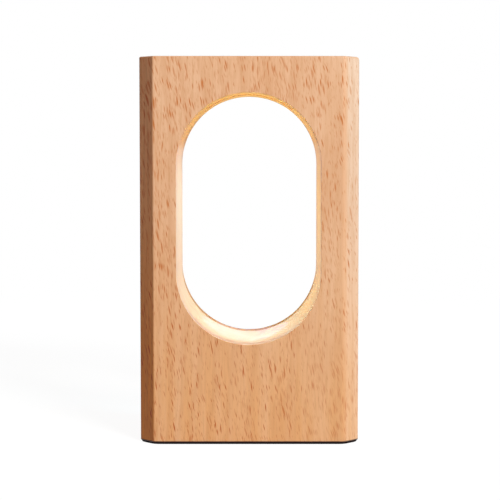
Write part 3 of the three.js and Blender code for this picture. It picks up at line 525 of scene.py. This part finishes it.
def brushed(name, colour, roughness, along):
    """Metal with fine lines along one axis."""
    p = Paint(name)
    scales = tuple(0.15 if axis == along else 8.0 for axis in "xyz")
    lines = p.noise(p.place(), scales, detail=3.0, roughness=0.7)
    base = p.mixed(p.spread(lines, 0.3, 0.7), colour, darker(colour, 0.78))
    rough = p.spread(lines, 0.3, 0.7, roughness - 0.08, roughness + 0.08)
    return p.surface(base_color=base, roughness=rough, metallic=1.0, normal=p.bump(lines, 0.2, 0.01))


def porous(name, colour, roughness, size, depth):
    """Foam, tape or rubber: open cells, with painted shade darkening their hollows."""
    p = Paint(name)
    near = p.cells(p.scaled(p.place(), (1 / size,) * 3))[0]
    base = p.mixed(p.spread(near, 0.1, 0.7), darker(colour, 0.7), colour)
    rough = p.spread(near, 0.0, 0.8, roughness, roughness - 0.08)
    return p.surface(base_color=base, roughness=rough, specular_ior_level=0.1,
                     normal=p.bump(near, 0.4, depth))


def circuit_board():
    """Green solder mask over copper tracks, with tinned pads."""
    p = Paint("circuit_board")
    place = p.place()
    bricks = {"Vector": place, "Scale": 0.5, "Mortar Size": 0.06, "Mortar Smooth": 0.2, "Brick Width": 1.7,
              "Row Height": 0.6}
    tracks = p.node("ShaderNodeTexBrick", bricks).outputs["Fac"]
    drawn = p.times(tracks, p.spread(p.noise(place, 0.35), 0.42, 0.5))
    base = p.mixed(drawn, tone(24, 92, 50), tone(52, 134, 76))
    near, chance = p.cells(p.scaled(place, (0.45,) * 3), randomness=0.35)
    pad = p.times(p.spread(near, 0.3, 0.24), p.spread(p.parts(chance)[0], 0.62, 0.66))
    base = p.mixed(pad, base, tone(206, 205, 198))
    rough = p.spread(pad, 0.0, 1.0, 0.42, 0.28)
    return p.surface(base_color=base, roughness=rough, metallic=pad,
                     normal=p.bump(p.most(drawn, pad), 0.4, 0.04))


def cell_wrap():
    """Shrunk blue film, puckered where it folds over the bare ends of the can."""
    p = Paint("cell_wrap")
    place = p.place()
    x, y, z = p.parts(place)
    from_axis = p.reach(p.minus(y, CELL_AXIS[0]), p.minus(z, CELL_AXIS[1]))
    bare = p.times(p.spread(p.absolute(x), *CELL_FILM_X), p.spread(from_axis, *CELL_FILM_RADIUS))
    pucker = p.noise(place, (0.25, 1.4, 1.4), detail=3.0, roughness=0.6)
    film = p.mixed(p.spread(pucker, 0.35, 0.7), tone(44, 106, 170), tone(58, 124, 190))
    base = p.mixed(bare, film, tone(196, 196, 192))
    rough = p.spread(pucker, 0.3, 0.7, 0.26, 0.4)
    return p.surface(base_color=base, roughness=rough, metallic=bare, normal=p.bump(pucker, 0.5, 0.1))


def on_strip(p, shift):
    """Millimetres along the LED strip from a chip, or from a gap if shift is a half, and from its middle."""
    x, y, z = p.parts(p.place())
    angle = p.math("ARCTAN2", x, p.minus(z, ARCH_Z))
    step = p.math("FRACT", p.plus(p.over(angle, CHIP_STEP), shift))
    along = p.times(p.minus(step, 0.5), CHIP_STEP * CHIP_RADIUS)
    return p.absolute(along), p.absolute(y)


def led_strip():
    """White solder mask with a pair of copper pads between two chips."""
    p = Paint("led_strip")
    along, across = on_strip(p, 0.5)
    pad = p.times(p.spread(along, 0.95, 0.85), p.spread(across, 1.0, 1.1), p.spread(across, 2.7, 2.6))
    mask = p.mixed(p.spread(p.noise(p.place(), 3.0), 0.3, 0.7), tone(243, 241, 234), tone(234, 231, 222))
    base = p.mixed(pad, mask, tone(205, 140, 88))
    rough = p.spread(pad, 0.0, 1.0, 0.5, 0.32)
    return p.surface(base_color=base, roughness=rough, metallic=pad, normal=p.bump(pad, 0.3, 0.03))


def led_chip():
    """Yellow phosphor that glows in a white frame."""
    p = Paint("led_chip")
    along, across = on_strip(p, 0.0)
    lit = p.times(p.spread(along, 1.4, 1.3), p.spread(across, 1.05, 0.95))
    grit = p.noise(p.place(), 6.0)
    phosphor = p.mixed(p.spread(grit, 0.3, 0.7), tone(250, 214, 92), tone(240, 196, 70))
    base = p.mixed(lit, tone(240, 239, 232), phosphor)
    glow = p.mixed(lit, tone(0, 0, 0), tone(255, 220, 150))
    rough = p.spread(lit, 0.0, 1.0, 0.45, 0.6)
    return p.surface(base_color=base, roughness=rough, emission_color=glow, emission_strength=2.0,
                     normal=p.bump(grit, 0.3, 0.02))


def opal_diffuser():
    """Milky plastic that glows warm all over."""
    p = Paint("opal_diffuser")
    fine = p.noise(p.place(), 2.0)
    base = p.mixed(p.spread(fine, 0.3, 0.7), tone(250, 244, 230), tone(240, 232, 214))
    rough = p.spread(fine, 0.3, 0.7, 0.45, 0.55)
    return p.surface(base_color=base, roughness=rough, emission_color=tone(255, 226, 176),
                     emission_strength=3.0, normal=p.bump(fine, 0.2, 0.02))


def screw_steel():
    """Turned steel with painted shade in the cross recess below its face."""
    p = Paint("screw_steel")
    x, y, z = p.parts(p.place())
    from_axis = p.reach(p.minus(p.absolute(x), PANEL_SCREW_X), p.minus(z, PANEL_Z))
    turned = p.math("SINE", p.times(from_axis, 40.0))
    recess_shade = p.times(p.spread(y, SCREW_FACE_Y - 0.05, SCREW_FACE_Y - 0.25), p.spread(from_axis, 1.35, 1.25))
    base = p.mixed(p.spread(turned, -1.0, 1.0), tone(196, 197, 199), tone(176, 178, 181))
    base = p.mixed(recess_shade, base, tone(38, 39, 42))
    rough = p.spread(turned, -1.0, 1.0, 0.26, 0.34)
    return p.surface(base_color=base, roughness=rough, metallic=1.0, normal=p.bump(turned, 0.15, 0.01))


# Finishes by material slot; beech is made for each board
finishes = {
    "base_pad": porous("pad_rubber", tone(18, 4, 2), 0.95, 0.5, 0.05),
    "black_plastic": grained("black_plastic", tone(27, 27, 29), 0.55, grain=0.25, shine=0.3),
    "button_plastic": grained("button_plastic", tone(46, 47, 50), 0.36, grain=0.2, depth=0.01),
    "aluminium": brushed("aluminium", tone(205, 207, 209), 0.35, "x"),
    "steel": brushed("steel", tone(190, 191, 193), 0.3, "y"),
    "nickel": brushed("nickel", tone(207, 205, 196), 0.35, "z"),
    "opal_diffuser": opal_diffuser(),
    "led_strip": led_strip(),
    "led_chip": led_chip(),
    "circuit_board": circuit_board(),
    "cell_wrap": cell_wrap(),
    "foam": porous("foam", tone(85, 86, 90), 0.95, 0.7, 0.3),
    "tape": porous("tape", tone(217, 212, 198), 0.85, 0.9, 0.08),
    "white_plastic": grained("white_plastic", tone(239, 238, 232), 0.45, grain=0.3),
    "red_insulation": grained("red_insulation", tone(179, 38, 30), 0.45),
    "black_insulation": grained("black_insulation", tone(23, 24, 26), 0.45),
    "chip_black": grained("chip_black", tone(32, 32, 34), 0.6, grain=0.12),
    "ferrite": grained("ferrite", tone(60, 61, 64), 0.7, grain=0.2, depth=0.05),
    "capacitor": grained("capacitor", tone(176, 138, 90), 0.4),
}

slots = {name: obj.data.materials[0].name.split(".")[0] for name, obj in nodes.items()}
for name, obj in nodes.items():
    if slots[name] in finishes:
        obj.data.materials.clear()
        obj.data.materials.append(finishes[slots[name]])


# Outlines, as points in a plane
def arc(centre, radius, start, end, steps):
    return [(centre[0] + radius * math.cos(a), centre[1] + radius * math.sin(a))
            for a in (start + (end - start) * i / steps for i in range(steps + 1))]


def circle(centre, radius, sides):
    return arc(centre, radius, 0.0, 2 * math.pi * (1 - 1 / sides), sides - 1)


def rounded_box(low, high, radius, steps=CORNER_STEPS):
    """A rectangle with round corners."""
    corners = [((high[0] - radius, low[1] + radius), -QUARTER), ((high[0] - radius, high[1] - radius), 0.0),
               ((low[0] + radius, high[1] - radius), QUARTER),
               ((low[0] + radius, low[1] + radius), 2 * QUARTER)]
    return [p for centre, start in corners for p in arc(centre, radius, start, start + QUARTER, steps)]


def window_outline(grow):
    """The window, an upright slot with half-round ends, in X and Z."""
    radius = WINDOW_RADIUS + grow
    return (arc((WINDOW_X, ARCH_Z), radius, 0.0, math.pi, ARC_STEPS)
            + arc((WINDOW_X, LOWER_ARC_Z), radius, math.pi, 2 * math.pi, ARC_STEPS))


def panel_outline(radius):
    """The rear panel or its seat, a lying slot with half-round ends, in X and Z."""
    return (arc((SEAT_FLAT, PANEL_Z), radius, -QUARTER, QUARTER, END_STEPS)
            + arc((-SEAT_FLAT, PANEL_Z), radius, QUARTER, 3 * QUARTER, END_STEPS))


def cap_outline(grow):
    """The button's hole in X and Z."""
    return circle((BUTTON_X, PANEL_Z), CAP_HOLE_RADIUS + grow, MOUTH_SIDES)


def usb_outline(grow):
    """The USB inlet's hole in X and Z."""
    wide, tall = USB_HALF[0] + grow, USB_HALF[1] + grow
    return rounded_box((USB_X - wide, PANEL_Z - tall), (USB_X + wide, PANEL_Z + tall), USB_CORNER + grow,
                       USB_CORNER_STEPS)


def block_plan(inset, rounding, soft=0.0):
    """The block in X and Y, its corners cut and each arris rounded, by soft more at the front right."""
    x, y = HALF_WIDTH - inset, HALF_DEPTH - inset
    c = CORNER_CHAMFER - inset * (2 - math.sqrt(2))
    corners = [(x, -y + c), (x, y - c), (x - c, y), (-x + c, y),
               (-x, y - c), (-x, -y + c), (-x + c, -y), (x - c, -y)]
    turn = QUARTER / 2
    outline = []
    for i, corner in enumerate(corners):
        start = -turn + i * turn
        middle = start + turn / 2
        radius = rounding + (soft if i == len(corners) - 1 else 0.0)
        back = radius / math.cos(turn / 2)
        centre = (corner[0] - back * math.cos(middle), corner[1] - back * math.sin(middle))
        outline += arc(centre, radius, start, start + turn, CORNER_STEPS)
    return outline


def rounded(reach):
    """A quarter round from a side to a face: how far each point is in from the side and behind the face."""
    angles = (QUARTER * i / ROUND_STEPS for i in range(ROUND_STEPS + 1))
    return [(reach * (1 - math.cos(a)), reach * (1 - math.sin(a))) for a in angles]


# Meshes
@contextlib.contextmanager
def edited(mesh):
    """The mesh as a bmesh, which is written back at the end."""
    b = bmesh.new()
    b.from_mesh(mesh)
    yield b
    b.to_mesh(mesh)
    b.free()


def mesh_of(name, points, faces):
    mesh = bpy.data.meshes.new(name)
    mesh.from_pydata([Vector(p) * MM for p in points], [], faces)
    with edited(mesh) as b:
        bmesh.ops.remove_doubles(b, verts=b.verts, dist=WELD)
        bmesh.ops.recalc_face_normals(b, faces=b.faces)
    return mesh


def through_rings(name, rings):
    """A closed mesh through rings of points, all with the same count, capped at both ends."""
    count = len(rings[0])
    points = [p for ring in rings for p in ring]
    faces = [tuple(range(count)), tuple(range(len(points) - count, len(points)))]
    for r in range(len(rings) - 1):
        for i in range(count):
            j = (i + 1) % count
            a, b = r * count, (r + 1) * count
            faces.append((a + i, a + j, b + j, b + i))
    return mesh_of(name, points, faces)


def along_y(name, sections):
    """A closed mesh through outlines in X and Z, each with its depth."""
    return through_rings(name, [[(x, y, z) for x, z in outline] for outline, y in sections])


def along_z(name, sections):
    """A closed mesh through outlines in X and Y, each with its height."""
    return through_rings(name, [[(x, y, z) for x, y in outline] for outline, z in sections])


def prism_y(name, outline, low, high):
    return along_y(name, ((outline, low), (outline, high)))


def prism_z(name, outline, low, high):
    return along_z(name, ((outline, low), (outline, high)))


def turned_y(name, profile, x, sides):
    """A solid turned about an axis along Y at the panel's height, from a profile of radii and depths."""
    return along_y(name, [(circle((x, PANEL_Z), radius, sides), y) for radius, y in profile])


def rounded_end(radius, face, reach, start):
    """A profile with a straight side from start and a rounded rim at the face."""
    return [(radius, start)] + [(radius - inwards, face - back) for inwards, back in rounded(reach)]


def boolean(mesh, tool, operation):
    obj = bpy.data.objects.new("work", mesh)
    cutter = bpy.data.objects.new("tool", tool)
    for o in (obj, cutter):
        scene.collection.objects.link(o)
    modifier = obj.modifiers.new("cut", "BOOLEAN")
    modifier.operation = operation
    modifier.solver = "MANIFOLD"
    modifier.object = cutter
    result = bpy.data.meshes.new_from_object(obj.evaluated_get(bpy.context.evaluated_depsgraph_get()))
    if len(result.vertices) == len(mesh.vertices):
        raise RuntimeError(f"{tool.name} did not change {mesh.name}")
    for o in (obj, cutter):
        bpy.data.objects.remove(o)
    return result


def without_slivers(mesh):
    """The same mesh with the faces that a cut leaves between nearly equal surfaces taken up."""
    with edited(mesh) as b:
        bmesh.ops.remove_doubles(b, verts=b.verts, dist=SLIVER * MM)
        bmesh.ops.dissolve_degenerate(b, dist=SLIVER * MM, edges=b.edges)
    return mesh


def welded(node):
    """A CAD solid as one closed mesh, for cutting and easing."""
    mesh = nodes[node].data.copy()
    with edited(mesh) as b:
        bmesh.ops.remove_doubles(b, verts=b.verts, dist=WELD)
    return mesh


def eased_mesh(node, reach):
    """A CAD solid with its sharp arrises eased."""
    mesh = welded(node)
    with edited(mesh) as b:
        bmesh.ops.dissolve_limit(b, angle_limit=FLAT, verts=b.verts, edges=b.edges)
        sharp = [e for e in b.edges if e.calc_face_angle() > SHARP]
        bmesh.ops.bevel(b, geom=sharp, offset=reach * MM, offset_type="OFFSET", segments=2, profile=0.5,
                        affect="EDGES", clamp_overlap=True)
    return mesh


# Block and boards
def block_mesh():
    """The block without its cuts. The right end of its top arris is worn."""
    rings = [[(x, y, WOOD_BOTTOM_Z + lift) for x, y in block_plan(inset, CORNER_ROUND - inset, SOFT_ROUND)]
             for inset, lift in reversed(rounded(BOTTOM_ARRIS))]
    for steps in zip(rounded(ARRIS), rounded(WORN_ARRIS)):
        crisp, worn = (
            [(x, y, TOP_Z - drop)
             for x, y in block_plan(inset, CORNER_ROUND - CORNER_TAPER * inset, SOFT_ROUND)]
            for inset, drop in steps)
        rings.append([])
        for a, b in zip(crisp, worn):
            share = min(max((a[0] - WORN_FROM_X) / (HALF_WIDTH - WORN_FROM_X), 0.0), 1.0)
            rings[-1].append([c + (w - c) * share for c, w in zip(a, b)])
    return through_rings("block", rings)


def window_mesh():
    """The window as a cutter, wider at both mouths so that it leaves eased arrises."""
    mouth = [(PAST, WINDOW_ARRIS)] + [(-inwards, grow) for inwards, grow in rounded(WINDOW_ARRIS)]
    front = [(window_outline(grow), -HALF_DEPTH - beyond) for beyond, grow in mouth]
    back = [(window_outline(grow), HALF_DEPTH + beyond) for beyond, grow in reversed(mouth)]
    return along_y("window", front + back)


def groove_mesh():
    """The light's groove as a cutter, from inside the window."""
    left, right = QUARTER + GROOVE_ANGLE, QUARTER - GROOVE_ANGLE
    outline = (arc((0.0, ARCH_Z), GROOVE_RADIUS, left, right, SECTOR_STEPS)
               + arc((0.0, ARCH_Z), WINDOW_RADIUS - PAST, right, left, SECTOR_STEPS))
    return prism_y("groove", outline, -GROOVE_HALF_WIDTH, GROOVE_HALF_WIDTH)


def cavity_mesh():
    """The cavity as a cutter, which leaves a boss for a screw in each corner."""
    outline = rounded_box((-CAVITY_HALF_X, CAVITY_Y[0]), (CAVITY_HALF_X, CAVITY_Y[1]), CAVITY_ROUND)
    cavity = prism_z("cavity", outline, WOOD_BOTTOM_Z - PAST, CAVITY_ROOF_Z)
    for sx in (-1, 1):
        for sy in (-1, 1):
            xs = sorted((sx * BOSS_INNER[0], sx * (CAVITY_HALF_X + PAST)))
            ys = sorted((sy * BOSS_INNER[1], sy * HALF_DEPTH))
            boss = rounded_box((xs[0], ys[0]), (xs[1], ys[1]), BOSS_ROUND)
            cavity = boolean(cavity, prism_z("boss", boss, -2 * PAST, CAVITY_ROOF_Z + PAST), "DIFFERENCE")
    return cavity


def panel_cuts():
    """The rear panel's seat, and the opening from it into the cavity."""
    wide, tall = OPENING_HALF
    opening = rounded_box((-wide, PANEL_Z - tall), (wide, PANEL_Z + tall), OPENING_ROUND)
    return [prism_y("seat", panel_outline(SEAT_RADIUS), PANEL_BACK_Y, HALF_DEPTH + PAST),
            prism_y("opening", opening, CAVITY_Y[1] - PAST, PANEL_BACK_Y + OPENING_PAST)]


def screw_holes():
    cover_radius, cover_end = COVER_SCREW_HOLE
    panel_radius, panel_end = PANEL_SCREW_HOLE
    holes = []
    for sx in (-1, 1):
        for sy in (-1, 1):
            outline = circle((sx * COVER_SCREW[0], sy * COVER_SCREW[1]), cover_radius, HOLE_SIDES)
            holes.append(prism_z("cover_hole", outline, REBATE_TOP_Z - PAST, cover_end))
        outline = circle((sx * PANEL_SCREW_X, PANEL_Z), panel_radius, HOLE_SIDES)
        holes.append(prism_y("panel_hole", outline, panel_end, PANEL_BACK_Y + PAST))
    return holes


def channel_cut():
    """The path of the LED leads in the rear board: round the arch and down the right post into the cavity."""
    inner, outer = CHANNEL_RADII
    end = outer - LANDING_SLACK
    outline = (arc((0.0, ARCH_Z), outer, CHANNEL_FROM, 0.0, SECTOR_STEPS)
               + [(outer, LANDING_Z), (inner, LANDING_Z)]
               + arc((0.0, ARCH_Z), inner, 0.0, CHANNEL_FROM, SECTOR_STEPS))
    landing = [(0.0, LANDING_Z), (end, LANDING_Z), (end, CAVITY_ROOF_Z), (0.0, CAVITY_ROOF_Z)]
    channel, landing = (prism_y(name, points, -PAST, CHANNEL_DEPTH)
                        for name, points in (("channel", outline), ("landing", landing)))
    return boolean(channel, landing, "UNION")


def board_meshes():
    """The block with all its cuts, parted at the glue line into the front and the rear board."""
    rebate = prism_z("rebate", block_plan(REBATE_INSET, REBATE_ROUND), WOOD_BOTTOM_Z - PAST, REBATE_TOP_Z)
    block = block_mesh()
    for cut in [window_mesh(), groove_mesh(), cavity_mesh(), rebate] + panel_cuts() + screw_holes():
        block = boolean(block, cut, "DIFFERENCE")
    wide, deep = HALF_WIDTH + PAST, HALF_DEPTH + PAST
    boards = []
    for low, high in ((-deep, 0.0), (0.0, deep)):
        half = prism_z("half", [(-wide, low), (wide, low), (wide, high), (-wide, high)], -PAST, TOP_Z + PAST)
        boards.append(boolean(block.copy(), half, "INTERSECT"))
    boards[1] = boolean(boards[1], channel_cut(), "DIFFERENCE")
    return boards


# Panel, button, spring and pad
def flared(outline_of):
    """A cutter that flares a hole's mouth in the panel's face. outline_of gives the hole, grown."""
    steps = [(0.0, PANEL_FACE_Y - 2 * MOUTH_ROUND)]
    steps += [(grow, PANEL_FACE_Y - back) for grow, back in rounded(MOUTH_ROUND)]
    steps.append((MOUTH_ROUND, PANEL_FACE_Y + PAST))
    return along_y("mouth", [(outline_of(grow), y) for grow, y in steps])


def panel_mesh():
    """The panel's own solid inside an envelope with a rounded rim, and the mouths of its holes flared."""
    steps = [(-ENVELOPE_SLACK, 0.0)] + [(inset, PANEL_FACE_Y - back) for inset, back in rounded(PANEL_ROUND)]
    envelope = along_y("envelope", [(panel_outline(PANEL_RADIUS - inset), y) for inset, y in steps])
    mesh = boolean(welded("rear_panel"), envelope, "INTERSECT")
    for outline_of in (cap_outline, usb_outline):
        mesh = boolean(mesh, flared(outline_of), "DIFFERENCE")
    return without_slivers(mesh)


def screw_mesh(node, x):
    """A panel screw's own solid with the rim of its head rounded."""
    profile = rounded_end(SCREW_HEAD_RADIUS, SCREW_FACE_Y, SCREW_HEAD_ROUND, SCREW_HEAD_START_Y)
    return without_slivers(boolean(welded(node), turned_y("head", profile, x, SCREW_HEAD_SIDES), "INTERSECT"))


def button_mesh():
    """The button with a collar behind the panel and a dished face."""
    cap = rounded_end(CAP_RADIUS, CAP_FACE_Y, CAP_ROUND, CAP_START_Y)
    return turned_y("button", BUTTON_STEM + BUTTON_COLLAR + cap + BUTTON_DISH, BUTTON_X, BUTTON_SIDES)


def spring_mesh():
    """A coil with closed first and last turns."""
    open_turns = SPRING_TURNS - 2
    pitch = (SPRING_LENGTH - 2 * WIRE_RADIUS - 2 * END_PITCH) / open_turns
    wire = circle((SPRING_RADIUS, 0.0), WIRE_RADIUS, WIRE_SIDES)
    rings = []
    for step in range(SPRING_TURNS * TURN_STEPS + 1):
        turn = step / TURN_STEPS
        a = 2 * math.pi * turn
        rise = END_PITCH * min(turn, 1.0) + pitch * min(max(turn - 1.0, 0.0), open_turns)
        rise += END_PITCH * max(turn - SPRING_TURNS + 1.0, 0.0)
        y = SPRING_START_Y + WIRE_RADIUS + rise
        rings.append([(BUTTON_X + r * math.cos(a), y + lift, PANEL_Z + r * math.sin(a)) for r, lift in wire])
    return through_rings("spring", rings)


def pad_mesh():
    return along_z("pad", [(block_plan(PAD_INSET + inset, PAD_ROUND - inset), z) for inset, z in PAD_PROFILE])


# Pieces in place of CAD nodes
def smooth_flats(obj):
    """Smooth rounds next to flat faces that stay flat."""
    obj.data.polygons.foreach_set("use_smooth", [True] * len(obj.data.polygons))
    obj.data.set_sharp_from_angle(angle=SMOOTH)
    modifier = obj.modifiers.new("flats", "WEIGHTED_NORMAL")
    modifier.mode = "FACE_AREA"
    modifier.weight = 50
    modifier.keep_sharp = True


def stands_for(node, name, mesh, material=None, body="lamp_body"):
    """A finer piece in place of a CAD node, with that node's finish unless another is given."""
    obj = bpy.data.objects.new(name, mesh)
    scene.collection.objects.link(obj)
    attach(obj, body)
    mesh.materials.clear()
    mesh.materials.append(material or finishes[slots[node]])
    smooth_flats(obj)
    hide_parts(node)
    return obj


for (node, name, pith, shift), mesh in zip(BOARDS, board_meshes()):
    stands_for(node, name, mesh, beech(node + "_wood", pith, shift))

for node, reach in EASED.items():
    eased = stands_for(node, node + "_eased", eased_mesh(node, reach))
    if node == "switch_plunger":
        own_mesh(eased)

stands_for("base_pad", "foot_pad", pad_mesh())
stands_for("rear_panel", "back_panel", panel_mesh())
stands_for("power_button", "push_button", button_mesh(), body="button")
turned_steel = screw_steel()
for i, x in ((1, -PANEL_SCREW_X), (2, PANEL_SCREW_X)):
    stands_for(f"panel_screw_{i}", f"rear_screw_{i}", screw_mesh(f"panel_screw_{i}", x), turned_steel)
spring = stands_for("button_spring", "coil_spring", spring_mesh())
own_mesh(spring)


# Floor, world, lamps and camera
def stage_floor():
    """White to the camera, with a share of plain shading near the object that keeps its shadow."""
    corners = [(x * FLOOR_HALF, y * FLOOR_HALF, 0.0) for x, y in ((-1, -1), (1, -1), (1, 1), (-1, 1))]
    mesh = mesh_of("floor", corners, [(0, 1, 2, 3)])
    floor = bpy.data.objects.new("floor", mesh)
    scene.collection.objects.link(floor)
    p = Paint("floor_white")
    far = p.node("ShaderNodeVectorMath", {0: p.place()}, operation="LENGTH").outputs["Value"]
    plain = p.node("ShaderNodeBsdfDiffuse", {"Color": FLOOR_GREY}).outputs[0]
    share = p.spread(far, *FLOOR_FADE, 0.0, FLOOR_SHADE)
    shade = p.node("ShaderNodeBsdfDiffuse", {"Color": p.joined(share, share, share)}).outputs[0]
    strength = p.spread(far, *FLOOR_FADE, 1.0, FLOOR_GLOW)
    glow = p.node("ShaderNodeEmission", {"Color": WHITE, "Strength": strength}).outputs[0]
    lit = p.node("ShaderNodeAddShader", {0: shade, 1: glow}).outputs[0]
    mesh.materials.append(p.finish(p.node("ShaderNodeMixShader", {0: p.seen(), 1: plain, 2: lit}).outputs[0]))


def white_world():
    """White to the camera, and a weak even light on the object."""
    p = Paint("world", bpy.data.worlds)
    strength = p.spread(p.seen(), 0.0, 1.0, AMBIENT, 1.0, smooth=False)
    background = p.node("ShaderNodeBackground", {"Color": WHITE, "Strength": strength})
    scene.world = p.finish(background.outputs[0], "ShaderNodeOutputWorld")


def lamp(name, kind, place, watts, colour, gloss):
    data = bpy.data.lights.new(name, kind)
    data.energy = watts
    data.color = colour
    obj = bpy.data.objects.new(name, data)
    obj.location = Vector(place) * MM
    obj.visible_camera = False
    obj.visible_glossy = gloss
    scene.collection.objects.link(obj)
    return obj


def area_lamp(name, place, target, size, watts, colour=WHITE[:3], spread=180, gloss=False):
    obj = lamp(name, "AREA", place, watts, colour, gloss)
    obj.data.shape = "RECTANGLE"
    obj.data.size, obj.data.size_y = size[0] * MM, size[1] * MM
    obj.data.spread = math.radians(spread)
    obj.rotation_euler = (Vector(target) * MM - obj.location).to_track_quat("-Z", "Y").to_euler()


def studio():
    for name, (bearing, lift, far), size, watts, gloss in STUDIO:
        a, b = math.radians(bearing), math.radians(lift)
        away = far * math.cos(b)
        place = (away * math.sin(a), -away * math.cos(a), far * math.sin(b) + STUDIO_AIM[2])
        area_lamp(name, place, STUDIO_AIM, size, watts, gloss=gloss)
    for settings in WINDOW_LAMPS:
        area_lamp(*settings)
    pool = lamp("pool", "SPOT", POOL_PLACE, POOL_WATTS, POOL_COLOUR, False)
    pool.scale = POOL_SCALE
    pool.data.spot_size = POOL_ANGLE
    pool.data.spot_blend = POOL_BLEND
    pool.data.shadow_soft_size = POOL_SOURCE * MM


def camera():
    data = bpy.data.cameras.new("camera")
    data.lens = CAMERA_LENS
    data.sensor_width = CAMERA_SENSOR
    data.shift_x, data.shift_y = CAMERA_SHIFT
    obj = bpy.data.objects.new("camera", data)
    obj.location = Vector(CAMERA_PLACE) * MM
    obj.rotation_euler = (QUARTER - CAMERA_TILT, 0.0, 0.0)
    scene.collection.objects.link(obj)
    scene.camera = obj


stage_floor()
white_world()
studio()
camera()
